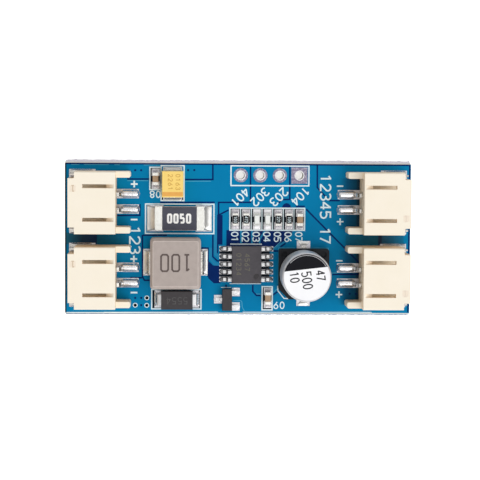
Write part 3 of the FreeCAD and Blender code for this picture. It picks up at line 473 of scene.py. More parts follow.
    # Paler line inside the inductor's top edge: painted highlight.
    IRON_PAINTED_HIGHLIGHT = Finish("inductor_painted_highlight", linear(206, 195, 188), linear(190, 178, 171),
                      roughness=0.6, mottle=1500, relief=5200, relief_depth=0.02, edge=0,
                      specular=0.3)
    IRON_MARK = Finish("inductor_print", linear(86, 76, 74), linear(108, 96, 92), roughness=0.6,
                       mottle=3000, edge=0, specular=0.2)
    EPOXY = Finish("package_epoxy", linear(70, 67, 71), linear(84, 80, 85), roughness=0.55,
                   mottle=1800, relief=6000, relief_depth=0.012, edge=0.04, specular=0.3)
    EPOXY_DARK = Finish("diode_epoxy", linear(54, 51, 54), linear(66, 62, 64), roughness=0.5,
                        mottle=1800, relief=6000, relief_depth=0.012, edge=0.04, specular=0.3)
    EPOXY_MARK = Finish("package_print", linear(122, 119, 104), linear(92, 90, 82), roughness=0.6,
                        mottle=3000, edge=0, specular=0.2)
    FAINT_MARK = Finish("diode_print", linear(96, 95, 94), linear(70, 68, 70), roughness=0.6,
                        mottle=3000, edge=0, specular=0.2)
    COAT = Finish("sense_coat", linear(66, 67, 80), linear(80, 80, 92), roughness=0.5,
                  mottle=1200, relief_depth=0.008, edge=0.05, specular=0.3)
    COAT_SMALL = Finish("chip_coat", linear(18, 17, 20), linear(32, 30, 34), roughness=0.5,
                        mottle=2200, relief_depth=0.008, edge=0.03, specular=0.1)
    CERAMIC = Finish("white_ceramic", linear(230, 228, 222), linear(214, 210, 204),
                     roughness=0.5, mottle=1500, edge=0.03)
    TAN = Finish("capacitor_ceramic", linear(182, 152, 120), linear(156, 128, 100), roughness=0.4,
                 mottle=1600, edge=0.05)
    CAP = Finish("end_cap_tin", linear(254, 254, 250), linear(222, 220, 212), roughness=0.24,
                 metallic=0.6, mottle=2600, relief=2600, relief_depth=0.012, edge=0.06)
    RIM = Finish("hole_rim", linear(254, 254, 254), linear(226, 224, 230), roughness=0.35,
                 metallic=0.2, mottle=3600, relief=4200, relief_depth=0.02, edge=0)
    TANTALUM = Finish("tantalum_epoxy", linear(252, 220, 130), linear(246, 210, 116),
                      roughness=0.5, mottle=900, relief_depth=0.01, edge=0.06, specular=0.2)
    TANTALUM_BAND = Finish("tantalum_band", linear(236, 178, 96), linear(228, 166, 82),
                           roughness=0.5, mottle=1500, edge=0, specular=0.2)
    TANTALUM_MARK = Finish("tantalum_print", linear(204, 158, 70), linear(220, 176, 84),
                           roughness=0.5, mottle=3000, edge=0, specular=0.2)
    CAN = Finish("can_wall", linear(240, 240, 242), linear(218, 218, 222), roughness=0.36,
                 metallic=0.55, mottle=500, relief=1500, relief_depth=0.001, edge=0.03,
                 stretch=(1.0, 1.0, 0.15))
    CAN_TOP = Finish("can_top", linear(254, 254, 255), linear(246, 246, 250), roughness=0.5,
                     metallic=0.1, mottle=500, relief_depth=0.004, edge=0.02, specular=0.3)
    CAN_INK = Finish("can_ink", linear(12, 12, 18), linear(22, 22, 30), roughness=0.5,
                     mottle=900, relief_depth=0.004, edge=0, specular=0.12)
    SEAT = Finish("can_seat", linear(30, 31, 35), linear(40, 42, 46), roughness=0.5,
                  mottle=1200, relief_depth=0.008, edge=0.06, specular=0.15)
    LAMP_CAP = Finish("lamp_end_cap", linear(255, 255, 255), linear(196, 198, 190), roughness=0.3,
                      metallic=0.1, mottle=4200, mottle_share=0.7, relief=4200, relief_depth=0.03,
                      edge=0.05)
    LAMP_BASE = Finish("lamp_board", linear(246, 250, 242), linear(204, 212, 198), roughness=0.5,
                       mottle=2000, edge=0.02)
    LENS = Finish("lamp_resin", linear(255, 255, 255), linear(238, 242, 236), roughness=0.12,
                  mottle=5200, mottle_share=0.6, relief=3600, relief_depth=0.02, edge=0.05,
                  specular=0.6)
    # Dark disc that stands for an open via's hole: painted shade of the hole.
    HOLE_PAINTED_SHADE = Finish("via_hole_painted_shade", linear(4, 8, 14), linear(10, 14, 22), roughness=0.8, mottle=3000,
                  edge=0, specular=0.0)


# Surfaces


def piece(name: str, points: np.ndarray, faces: list, finish: Finish,
          replaces: tuple[str, ...] = (), smooth: bool = False) -> bpy.types.Object:
    """Writes a mesh in metres, dresses it and lets it ride with the body.

    Args:
        name: Name of the piece.
        points: Array of points in millimetres.
        faces: Corner numbers of each face.
        finish: Finish of the piece.
        replaces: Solid nodes that it stands for.
        smooth: Whether its faces are shaded smooth.

    Returns:
        The new object.
    """
    mesh = bpy.data.meshes.new(name)
    mesh.from_pydata((np.asarray(points, float) * MM).tolist(), [], faces)
    shell = bmesh.new()
    shell.from_mesh(mesh)
    bmesh.ops.recalc_face_normals(shell, faces=shell.faces)
    shell.to_mesh(mesh)
    shell.free()
    if smooth:
        mesh.polygons.foreach_set("use_smooth", np.ones(len(mesh.polygons), bool))
    mesh.materials.append(finish.material())
    shown = bpy.data.objects.new(name, mesh)
    bpy.context.scene.collection.objects.link(shown)
    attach(shown, BODY)
    if replaces:
        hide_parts(*replaces)
    log.info("%s: %d faces", name, len(faces))
    return shown


class Batch:
    """Many small surfaces gathered into one mesh."""

    def __init__(self) -> None:
        """Starts empty."""
        self.points: list[np.ndarray] = []
        self.faces: list[list[int]] = []
        self.count = 0

    def add(self, points: np.ndarray, faces: list) -> None:
        """Adds one surface.

        Args:
            points: Its points in millimetres.
            faces: Its faces.
        """
        self.points.append(np.asarray(points, float))
        self.faces += [[corner + self.count for corner in face] for face in faces]
        self.count += len(points)

    def write(self, name: str, finish: Finish, **options: object) -> bpy.types.Object:
        """Writes the gathered surfaces as one piece.

        Args:
            name: Name of the piece.
            finish: Its finish.
            **options: Further options of piece().

        Returns:
            The new object.
        """
        return piece(name, np.vstack(self.points), self.faces, finish, **options)


def grid_faces(rows: int, columns: int, wrap: bool = False) -> list[list[int]]:
    """Quads of a grid of points stored row by row.

    Args:
        rows: Number of rows.
        columns: Number of points in a row.
        wrap: Whether the last column joins the first.

    Returns:
        The quads, turning from row to column.
    """
    row, column = np.meshgrid(np.arange(rows - 1), np.arange(columns if wrap else columns - 1),
                              indexing="ij")
    after = (column + 1) % columns
    quads = np.stack([row * columns + column, row * columns + after,
                      (row + 1) * columns + after, (row + 1) * columns + column], -1)
    return quads.reshape(-1, 4).tolist()


def ribbon(points: np.ndarray, width: float, low: float, high: float, closed: bool = False
           ) -> tuple[np.ndarray, list]:
    """Flat strip along a level path: a rectangle carried along the path with mitred turns.

    At each point the strip reaches half its width to either side, along the bisector of the two
    neighbouring directions and lengthened by one over the cosine of half the turn.

    Args:
        points: Path in millimetres, one row for each point.
        width: Width of the strip.
        low: Height of its underside.
        high: Height of its top.
        closed: Whether the path closes on itself.

    Returns:
        Points and faces.
    """
    path = np.asarray(points, float)
    ahead = np.roll(path, -1, 0) - path
    behind = path - np.roll(path, 1, 0)
    if not closed:
        ahead[-1] = behind[-1]
        behind[0] = ahead[0]
    ahead /= np.linalg.norm(ahead, axis=1, keepdims=True)
    behind /= np.linalg.norm(behind, axis=1, keepdims=True)
    bisector = ahead + behind
    bisector /= np.maximum(np.linalg.norm(bisector, axis=1, keepdims=True), 1e-9)
    cosine = np.clip((bisector * ahead).sum(1), 0.35, 1.0)
    side = np.stack([-bisector[:, 1], bisector[:, 0]], 1) * (width / 2 / cosine)[:, None]
    left, right = path + side, path - side
    count = len(path)
    corners = np.zeros((count, 4, 3))
    corners[:, 0, :2], corners[:, 1, :2] = left, right
    corners[:, 2, :2], corners[:, 3, :2] = right, left
    corners[:, :2, 2], corners[:, 2:, 2] = low, high
    rows = count + 1 if closed else count
    faces = [[corner % (4 * count) for corner in face] for face in grid_faces(rows, 4, wrap=True)]
    if not closed:
        last = 4 * (count - 1)
        faces += [[3, 2, 1, 0], [last, last + 1, last + 2, last + 3]]
    return corners.reshape(-1, 3), faces


def corners_of(box: Box) -> list[Point]:
    """Corners of a box, counter-clockwise from its lower left.

    Args:
        box: Left, bottom, right and upper edge.

    Returns:
        The four corners.
    """
    left, bottom, right, upper = box
    return [(left, bottom), (right, bottom), (right, upper), (left, upper)]


def plate(outline: list[Point], low: float, high: float) -> tuple[np.ndarray, list]:
    """Level plate with straight sides.

    Args:
        outline: Corners, counter-clockwise from above.
        low: Height of its underside.
        high: Height of its top.

    Returns:
        Points and faces.
    """
    flat = np.asarray(outline, float)
    count = len(flat)
    points = np.vstack([np.column_stack([flat, np.full(count, low)]),
                        np.column_stack([flat, np.full(count, high)])])
    faces = [list(range(count))[::-1], list(range(count, 2 * count))]
    faces += grid_faces(2, count, wrap=True)
    return points, faces


def turned_profile(profile: np.ndarray, x: float, y: float, segments: int = 96
                   ) -> tuple[np.ndarray, list]:
    """Surface of revolution about an upright axis: each (radius, height) goes once round.

    Args:
        profile: Rows of radius and height, from the bottom on the axis outwards and up.
        x: Place of the axis.
        y: Place of the axis.
        segments: Steps round the axis.

    Returns:
        Points and faces.
    """
    angle = np.linspace(0, 2 * math.pi, segments, endpoint=False)
    radius, height = profile[:, :1], profile[:, 1:]
    points = np.stack([x + radius * np.cos(angle), y + radius * np.sin(angle),
                       height + 0 * angle], -1).reshape(-1, 3)
    faces = grid_faces(len(profile), segments, wrap=True)
    faces.append(list(range(segments))[::-1])
    top = (len(profile) - 1) * segments
    faces.append(list(range(top, top + segments)))
    return points, faces


def ring(x: float, y: float, inner: float, outer: float, low: float, high: float
         ) -> tuple[np.ndarray, list]:
    """Flat ring: a rectangle carried once round an upright axis.

    Args:
        x: Centre.
        y: Centre.
        inner: Inner radius.
        outer: Outer radius.
        low: Height of its underside.
        high: Height of its top.

    Returns:
        Points and faces.
    """
    angle = np.linspace(0, 2 * math.pi, 32, endpoint=False)
    middle = np.column_stack([x + (inner + outer) / 2 * np.cos(angle),
                              y + (inner + outer) / 2 * np.sin(angle)])
    return ribbon(middle, outer - inner, low, high, closed=True)


def slab(x: np.ndarray, y: np.ndarray, z: np.ndarray, floor: float) -> tuple[np.ndarray, list]:
    """Closed body under a height field: the field, its shadow on the floor, and the wall between.

    Args:
        x: Grid of X values.
        y: Grid of Y values.
        z: Grid of heights.
        floor: Height of the flat underside.

    Returns:
        Points and faces.
    """
    rows, columns = x.shape
    count = rows * columns
    top = np.stack([x, y, z], -1).reshape(-1, 3)
    bottom = np.stack([x, y, np.full_like(z, floor)], -1).reshape(-1, 3)
    field_faces = grid_faces(rows, columns)
    numbers = np.arange(count).reshape(rows, columns)
    rim = np.concatenate([numbers[0], numbers[1:, -1], numbers[-1, -2::-1], numbers[-2:0:-1, 0]])
    after = np.roll(rim, -1)
    walls = np.stack([rim, after, after + count, rim + count], -1).tolist()
    under = (np.array(field_faces)[:, ::-1] + count).tolist()
    return np.vstack([top, bottom]), field_faces + under + walls


def mound(x: float, y: float, length: float, radius: float, crest: float, crown: float = 0.5,
          upright: bool = False) -> tuple[np.ndarray, list]:
    """Solder round a foot: rings of a stadium shape that shrink towards the foot's centre line.

    With s the share of the radius, the height is the crest less an eighth of it times (s / crown)
    squared inside the crown, and outside it falls as the square of the remaining share, which
    gives the hollow skirt of wetted solder.

    Args:
        x: Middle of the foot.
        y: Middle of the foot.
        length: Length of the centre line.
        radius: Reach of the skirt from the centre line.
        crest: Height of the crest over the pad.
        crown: Share of the radius at which the skirt begins.
        upright: Whether the centre line runs along Y.

    Returns:
        Points and faces.
    """
    around, rings = 40, 15
    lift, sink = 0.012, 0.03
    angle = np.linspace(0, 2 * math.pi, around, endpoint=False)
    share = np.linspace(1.0, 0.03, rings)[:, None]
    along = np.where(np.cos(angle) >= 0, 0.5, -0.5) * length + share * radius * np.cos(angle)
    across = share * radius * np.sin(angle)
    dome = crest * (1 - 0.125 * (share / crown) ** 2)
    skirt = 0.875 * crest * ((1 - share) / (1 - crown)) ** 2 + lift
    height = PAD_TOP + np.where(share < crown, dome, skirt) + 0 * angle
    if upright:
        along, across = across, along
    points = np.stack([x + along, y + across, height], -1).reshape(-1, 3)
    rim = points[:around] - (0, 0, sink)
    points = np.vstack([rim, points])
    faces = grid_faces(rings + 1, around, wrap=True)
    faces += [list(range(around)), list(range(len(points) - around, len(points)))]
    return points, faces


def fillet(face: float, outer: float, middle: float, widths: tuple[float, float], height: float,
           upright: bool = False) -> tuple[np.ndarray, list]:
    """Solder from an end face out to the edge of its pad.

    With u from 0 at the face to 1 at the pad's edge, the height falls as (1 - u) squared, and the
    width grows evenly from the face's to the pad's. Across, with v from -1 to 1, the height is
    full nearly to the sides and drops there as v to the eighth power.

    Args:
        face: Place of the end face.
        outer: Place of the pad's edge.
        middle: Place of the part's centre line.
        widths: Width at the face and at the pad's edge.
        height: Height at the face.
        upright: Whether the part lies along Y.

    Returns:
        Points and faces.
    """
    lift, sink = 0.012, 0.01
    u, v = np.meshgrid(np.linspace(0, 1, 12), np.linspace(-1, 1, 15), indexing="ij")
    along = face + (outer - face) * u
    across = middle + v * (widths[0] + (widths[1] - widths[0]) * u) / 2
    z = PAD_TOP + lift + height * (1 - u) ** 2 * (1 - v ** 8)
    if upright:
        along, across = across, along
    return slab(along, across, z, PAD_TOP - sink)


# Print


def arc(x: float, y: float, rx: float, ry: float, start: float, end: float) -> list[Point]:
    """Points along an ellipse's arc: the centre plus each radius times cosine and sine.

    Args:
        x: Centre.
        y: Centre.
        rx: Radius along X.
        ry: Radius along Y.
        start: First angle in degrees.
        end: Last angle in degrees.

    Returns:
        The points.
    """
    angle = np.radians(np.linspace(start, end, max(4, int(abs(end - start) / 20))))
    return list(zip(x + rx * np.cos(angle), y + ry * np.sin(angle)))


# Strokes of each sign, one unit high. I, O and S are the square-cut one, nought and five.
STROKES: dict[str, list[list[Point]]] = {
    "0": [arc(0.3, 0.5, 0.27, 0.5, 90, 450)],
    "1": [[(0.32, 1.04), (0.32, 0.0)], [(0.34, 1.0), (0.1, 0.8)]],
    "2": [arc(0.3, 0.72, 0.27, 0.28, 165, -35) + [(0.06, 0.03)], [(0.0, 0.0), (0.6, 0.0)]],
    "3": [arc(0.28, 0.76, 0.26, 0.24, 150, -85), arc(0.28, 0.27, 0.29, 0.27, 95, -150)],
    "4": [[(0.44, 0.0), (0.44, 1.05)], [(0.44, 0.99), (0.0, 0.3)], [(-0.03, 0.3), (0.6, 0.3)]],
    "5": [[(0.54, 1.0), (0.08, 1.0), (0.05, 0.52)], arc(0.27, 0.32, 0.3, 0.31, 132, -140)],
    "6": [[(0.48, 1.0), (0.07, 0.42)], arc(0.3, 0.3, 0.27, 0.3, 90, 450)],
    "7": [[(0.0, 1.0), (0.57, 1.0), (0.2, 0.0)]],
    "8": [arc(0.3, 0.76, 0.23, 0.23, 90, 450), arc(0.3, 0.27, 0.28, 0.27, 90, 450)],
    "9": [[(0.12, 0.0), (0.53, 0.58)], arc(0.3, 0.7, 0.27, 0.3, 90, 450)],
    "+": [[(0.05, 0.5), (0.75, 0.5)], [(0.4, 0.15), (0.4, 0.85)]],
    "-": [[(0.05, 0.5), (0.75, 0.5)]],
    "O": [[(0.12, 0.0), (0.48, 0.0), (0.6, 0.1), (0.6, 0.9), (0.48, 1.0), (0.12, 1.0), (0.0, 0.9),
           (0.0, 0.1), (0.12, 0.0)]],
    "I": [[(0.3, 0.0), (0.3, 1.0)], [(0.1, 0.0), (0.5, 0.0)], [(0.3, 0.97), (0.1, 0.85)]],
    "S": [[(0.57, 1.0), (0.03, 1.0), (0.03, 0.56), (0.46, 0.56), (0.58, 0.46), (0.58, 0.1),
           (0.47, 0.0), (0.0, 0.0)]],
}


@dataclass(frozen=True)
class Line:
    """One line of figures, centred on a place.

    Pitch is a share of the figure height, and aspect widens or narrows each figure.
    """

    text: str
    x: float
    y: float
    height: float
    turn: float = Turn.UPRIGHT.value
    stroke: float = 0.15
    pitch: float = 0.86
    aspect: float = 1.0

    def draw(self, batch: Batch, low: float, high: float) -> None:
        """Adds the line's strokes to a batch.

        Args:
            batch: Batch to add to.
            low: Height of the print's underside.
            high: Height of its top.
        """
        start = -(len(self.text) - 1) / 2 * self.pitch
        angle = math.radians(self.turn)
        spin = np.array([[math.cos(angle), math.sin(angle)], [-math.sin(angle), math.cos(angle)]])
        for index, sign in enumerate(self.text):
            for layer, stroke in enumerate(STROKES[sign]):
                flat = np.asarray(stroke, float) - (0.4 if sign in "+-" else 0.3, 0.5)
                flat = (flat * (self.aspect, 1.0) + (start + index * self.pitch, 0)) * self.height
                flat = flat @ spin + (self.x, self.y)
                closed = bool(np.allclose(flat[0], flat[-1]))
                batch.add(*ribbon(flat[:-1] if closed else flat, self.stroke, low,
                                  high + 0.002 * layer, closed))


# Board


@dataclass
class Board:
    """Bare board: mask, copper gaps, print and vias. Paths are in millimetres on its top face.

    Every layer starts a little inside the board. The layers of one kind differ in height by one
    or more layer steps, so that no two faces share a plane.
    """

    sink: float = 0.01
    layer: float = 0.001
    gap_height: float = 0.004
    print_height: float = 0.02
    gap_width: float = 0.2
    pale_width: float = 0.07
    box_stroke: float = 0.16
    separator: float = 0.12
    row_parts: int = 7
    row_figure_height: float = 0.84
    row_figure_place: Point = (-0.05, 0.24)
    covered_radius: float = 0.14
    via_radius: float = 0.21
    via_ring: float = 0.31
    rim_radius: float = 0.58
    rim_reach: float = 0.078
    rim_sink: float = 0.02
    rim_height: float = 0.04
    snapped_back: float = 0.32
    snapped_front: float = 0.14
    tear_low: float = 0.4
    tear_height: float = 0.85
    tear_ends: float = 0.1
    tear_overlap: float = 0.02
    tear_root: float = 0.08
    # Boxes round the header, the tantalum capacitor, the capacitor beside it, the capacitor by
    # the can, the sense resistor, the diode and the row of small parts.
    boxes: list[Box] = field(default_factory=lambda: [
        (-1.00, 6.89, 9.12, 9.45),
        (-10.04, 4.90, -7.08, 9.42),
        (-11.50, 6.31, -10.12, 9.20),
        (3.15, -9.31, 4.47, -6.27),
        (-12.05, 0.63, -3.19, 4.45),
        (-11.22, -9.20, -4.82, -6.66),
        (-1.11, 1.10, 8.61, 3.97),
    ])
    # Print lines with their widths: both sides of the chip, the corner by the can, the transistor.
    outlines: list[tuple[float, list[Point]]] = field(default_factory=lambda: [
        (0.15, [(-1.05, -0.72), (3.07, -0.72)]),
        (0.09, [(-1.1, -5.88), (3.0, -5.88)]),
        (0.14, [(5.17, -6.15), (5.22, -6.82), (6.0, -7.79), (6.8, -7.84)]),
        (0.09, [(-2.2, -6.38), (-0.9, -6.38)]),
    ])
    # Print along the front edge, with widths.
    fine_lines: list[tuple[float, list[Point]]] = field(default_factory=lambda: [
        (0.05, [(-22.2, -9.66), (-17.4, -9.66)]),
        (0.09, [(-17.4, -9.66), (-2.6, -9.6)]),
        (0.08, [(0.62, -9.6), (17.5, -9.6)]),
    ])
    # Paler lines along copper edges: painted highlight.
    highlight_lines: list[list[Point]] = field(default_factory=lambda: [
        [(-21.66, 9.5), (-20.6, 9.5)],
        [(-20.0, 9.51), (-16.8, 9.51)],
        [(-16.07, 9.5), (-15.4, 9.5)],
        [(-12.3, 9.5), (-10.1, 9.5)],
        [(7.4, -1.18), (5.25, -1.2), (5.2, -5.9)],
        [(9.5, -1.18), (11.75, -1.2), (11.8, -3.6)],
        [(4.5, -7.12), (5.17, -6.52)],
        [(2.35, -7.22), (2.97, -7.22)],
        [(-0.64, -8.10), (0.40, -8.12), (0.52, -8.3), (0.56, -8.94), (0.87, -9.5)],
        [(3.7, -1.28), (4.6, -1.26), (5.5, -0.4)],
        [(12.25, -4.45), (13.0, -4.43)],
        [(-7.0, 7.42), (-3.6, 7.44)],
        [(-14.4, 7.45), (-11.7, 7.46)],
    ])
    # Gaps between areas of copper.
    gaps: list[list[Point]] = field(default_factory=lambda: [
        [(-14.45, 7.67), (-11.60, 7.68)],
        [(-7.03, 7.64), (-3.35, 7.66), (-3.36, 9.62)],
        [(-10.18, 4.65), (-3.09, 4.70)],
        [(1.53, 9.62), (1.54, 4.72), (-2.59, 4.69), (-2.58, 3.06)],
        [(-2.53, 3.06), (-1.30, 3.71)],
        [(-3.31, 0.46), (-3.31, -2.36), (-2.72, -2.92), (-2.4, -2.92)],
        [(-4.78, -1.24), (-3.93, -1.26), (-3.92, -4.97)],
        [(-2.70, 3.1), (-2.70, -2.0)],
        [(22.28, -9.6), (22.28, 9.6)],
        [(-12.45, 0.42), (-12.43, -5.01), (-12.16, -5.48), (-11.50, -5.48)],
        [(-12.50, -5.15), (-14.01, -5.12)],
        [(-12.37, 0.39), (-9.27, 0.41)],
        [(-12.78, 4.44), (-12.78, 2.97), (-15.73, 2.93)],
        [(6.63, 9.62), (6.66, 5.12), (5.57, 5.09), (5.25, 4.65)],
        [(7.44, 4.23), (8.63, 4.23)],
        [(8.80, 3.87), (15.71, -3.01)],
        [(10.21, 9.62), (10.23, 6.69), (10.83, 6.01), (11.85, 4.99), (13.18, 5.00)],
        [(12.31, -4.65), (15.80, -4.60)],
        [(1.93, -6.03), (1.93, -6.89), (2.43, -7.43), (2.97, -7.43)],
        [(4.55, -7.37), (5.27, -6.83)],
        [(4.50, -1.60), (5.36, -1.60)],
        [(6.15, -0.59), (5.49, -1.06)],
        [(-1.56, -6.0), (-1.56, -6.5)],
        [(-22.3, 9.64), (22.3, 9.64)],
    ])
    dark_areas: list[list[Point]] = field(default_factory=lambda: [
        [(-2.76, 3.06), (-2.76, -0.80), (-2.06, -0.80), (-2.06, 3.06)],
        [(-1.55, 1.1), (-1.55, -1.1), (4.3, -1.1), (4.6, -1.2), (5.9, -0.42), (7.0, 0.5),
         (7.0, 1.1)],
        [(5.65, 4.0), (6.85, 4.0), (6.76, 4.34), (6.5, 4.58), (6.25, 4.64), (6.0, 4.58),
         (5.74, 4.34)],
        [(-3.87, -2.91), (-3.89, -5.18), (-3.16, -5.84), (-2.30, -5.84), (-2.30, -3.51),
         (-3.24, -3.51)],
    ])
    # Dark plates inside the boxes, under the chip's leads and along the left edge; inside the boxes
    # and by the leads they are bare laminate darkened as painted shade.
    painted_shade_boxes: list[Box] = field(default_factory=lambda: [
        (-1.05, 1.16, 8.55, 3.91), (-11.42, 6.38, -10.2, 9.12), (3.22, -9.24, 4.4, -6.34),
        (-9.96, 4.97, -7.14, 5.3), (-2.45, -5.55, -0.85, -1.05), (2.95, -5.55, 4.1, -1.05),
        (-22.44, -9.68, -22.26, 9.68), (-11.12, -9.1, -4.92, -6.76),
    ])
    # Board between the two sockets of each end, painted darker: painted shade from the housings and
    # brackets, and a darker band at a copper gap.
    painted_shade_channels: list[Box] = field(default_factory=lambda: [
        (-22.26, -0.8, -14.2, 0.7), (14.0, -0.95, 21.6, 0.5),
    ])
    # Board at the foot of the two solar sockets, painted darker towards them as painted shade.
    feet: list[Box] = field(default_factory=lambda: [
        (13.2, 1.3, 15.85, 7.9), (13.2, -8.6, 15.85, -1.5),
    ])
    # Traces that stand out under the mask, with widths.
    traces: list[tuple[float, list[Point]]] = field(default_factory=lambda: [
        (0.42, [(-2.98, 4.55), (-2.98, -1.95), (-2.5, -2.38), (-2.0, -2.38)]),
        (0.40, [(-3.61, -1.2), (-3.61, -2.62), (-3.0, -3.33), (-2.0, -3.35)]),
        (0.26, [(0.37, 1.05), (0.37, -0.6)]),
        (0.26, [(1.78, 1.05), (1.78, -0.6)]),
        (0.22, [(3.42, 1.0), (2.78, -0.1), (2.78, -0.6)]),
        (0.26, [(3.9, -1.36), (4.6, -1.32), (6.0, -0.42)]),
    ])
    hole_places: tuple[float, ...] = (0.27, 2.81, 5.35, 7.89)
    hole_row: float = 8.23
    covered_vias: list[Point] = field(default_factory=lambda: [
        (-13.39, 8.81), (-12.63, 8.81), (-6.56, 8.85), (-5.76, 8.86), (-13.36, -7.77),
        (-12.58, -7.77), (-12.58, -8.72), (14.61, -7.16), (15.40, -7.19),
    ])
    open_vias: list[Point] = field(default_factory=lambda: [
        (-11.85, -7.77), (-13.36, -8.72), (-11.86, -8.74),
    ])
    legends: list[Line] = field(default_factory=lambda: [
        Line("+", -13.52, 7.02, 1.25, stroke=0.22),
        Line("-", -13.52, 2.42, 1.25, stroke=0.22),
        Line("+", -13.55, -2.70, 1.25, stroke=0.22),
        Line("-", -13.52, -7.08, 1.25, stroke=0.22),
        Line("-", 13.2, 6.88, 1.2, stroke=0.2),
        Line("+", 13.25, 2.25, 1.25, stroke=0.2),
        Line("-", 13.2, -2.85, 1.2, stroke=0.2),
        Line("+", 13.2, -7.28, 1.25, stroke=0.2),
        Line("123", -13.42, -0.25, 1.3, Turn.DOWNWARDS.value, 0.21, 0.96, 1.35),
        Line("12345", 11.32, 5.5, 1.3, Turn.DOWNWARDS.value, 0.21, 0.91, 1.2),
        Line("17", 11.3, 0.44, 1.3, Turn.DOWNWARDS.value, 0.21, 0.8, 1.2),
        Line("401", 0.2, 5.37, 1.05, Turn.SLANTED.value, 0.18, 0.88, 1.15),
        Line("302", 2.79, 5.42, 1.05, Turn.SLANTED.value, 0.18, 0.88, 1.15),
        Line("203", 5.25, 5.44, 1.05, Turn.SLANTED.value, 0.18, 0.88, 1.15),
        Line("104", 8.02, 5.54, 1.05, Turn.SLANTED.value, 0.18, 0.86, 1.15),
        Line("08", -10.8, 5.7, 0.82, Turn.REVERSED.value, 0.14, 0.95, 1.1),
        Line("09", 5.36, -8.7, 0.86, Turn.REVERSED.value, 0.14, 0.95, 1.1),
    ])

    def build(self) -> None:
        """Dresses the board and lays its gaps, print and vias."""
        self.dress_solids()
        self.lay_gaps()
        self.print_top()
        self.sink_vias()
        self.line_holes()
        self.snap_edges()

    def dress_solids(self) -> None:
        """Gives the board, pads and rings their finishes."""
        dress("circuit_board", Finishes.MASK)
        dress("tinned_pads", Finishes.PAD)
        dress("header_pads", Finishes.RING)

    def lay_gaps(self) -> None:
        """Darker lines and areas where the mask lies on bare laminate, traces under it, painted
        shade beside the parts and sockets, and lines of painted highlight.
        """
        low, top = BOARD_TOP - self.sink, BOARD_TOP + self.gap_height
        batch = Batch()
        for path in self.gaps:
            batch.add(*ribbon(path, self.gap_width, low, top))
        for outline in self.dark_areas:
            batch.add(*plate(outline, low, top - self.layer))
        batch.write("copper_gaps", Finishes.GAP)
        batch = Batch()
        # Dark plates, most of them painted shade.
        for box in self.painted_shade_boxes:
            batch.add(*plate(corners_of(box), low, top + self.layer))
        batch.write("painted_shade_areas", Finishes.DEEP_PAINTED_SHADE)
        # Painted shade between the two sockets of each end.
        for name, finish, box in zip(("battery_channel_painted_shade", "solar_channel_painted_shade"),
                                     (Finishes.BATTERY_CHANNEL_PAINTED_SHADE, Finishes.SOLAR_CHANNEL_PAINTED_SHADE),
                                     self.painted_shade_channels):
            piece(name, *plate(corners_of(box), low, top + self.layer), finish)
        # Painted shade at the foot of the solar sockets.
        batch = Batch()
        for box in self.feet:
            batch.add(*plate(corners_of(box), low, top - 2 * self.layer))
        batch.write("solar_socket_painted_shade", Finishes.SOCKET_FOOT_PAINTED_SHADE)
        batch = Batch()
        for width, path in self.traces:
            batch.add(*ribbon(path, width, low, top + 2 * self.layer))
        batch.write("raised_traces", Finishes.TRACE)
        # Lines of painted highlight.
        batch = Batch()
        for path in self.highlight_lines:
            batch.add(*ribbon(path, self.pale_width, low, top + 3 * self.layer))
        batch.write("painted_highlight_lines", Finishes.PALE_PAINTED_HIGHLIGHT)

    def print_top(self) -> None:
        """White print: boxes round the parts, polarity signs and figures."""
        batch = Batch()
        top = BOARD_TOP + self.print_height
        for box in self.boxes:
            batch.add(*ribbon(corners_of(box), self.box_stroke, BOARD_TOP, top, closed=True))
        left, bottom, right, upper = self.boxes[-1]
        cell = (right - left) / self.row_parts
        for index in range(1, self.row_parts):
            x = left + index * cell
            batch.add(*ribbon([(x, bottom), (x, upper)], self.separator, BOARD_TOP,
                              top - 2 * self.layer))
        for index in range(self.row_parts):
            Line(f"0{index + 1}", left + (index + 0.5) * cell + self.row_figure_place[0],
                 self.row_figure_place[1], self.row_figure_height, Turn.DOWNWARDS.value,
                 0.15, 0.8, 1.15).draw(batch, BOARD_TOP, top)
        for width, path in self.outlines:
            batch.add(*ribbon(path, width, BOARD_TOP, top + 2 * self.layer))
        for line in self.legends:
            line.draw(batch, BOARD_TOP, top)
        for width, path in self.fine_lines:
            batch.add(*ribbon(path, width, BOARD_TOP, top))
        batch.write("silk_print_top", Finishes.SILK)

    def sink_vias(self) -> None:
        """Covered vias as dark dots, open ones as a ring round a dark disc of painted shade for the
        hole, on both faces.
        """
        dots, shade_discs, rings = Batch(), Batch(), Batch()
        for face, rise in ((BOARD_TOP, 1), (0.0, -1)):
            low, high = sorted((face - rise * self.sink, face + rise * self.gap_height))
            for x, y in self.covered_vias:
                dots.add(*turned_profile(np.array([[self.covered_radius, low],
                                                   [self.covered_radius, high]]), x, y, 24))
            for x, y in self.open_vias:
                shade_discs.add(*turned_profile(np.array([[self.via_radius, low],
                                                    [self.via_radius, high]]), x, y, 24))
                rings.add(*ring(x, y, self.via_radius, self.via_ring,
                                face - self.sink, face + self.sink))
        dots.write("via_dots", Finishes.GAP)
        shade_discs.write("via_hole_shade_discs", Finishes.HOLE_PAINTED_SHADE)
        rings.write("via_rings", Finishes.SILK)

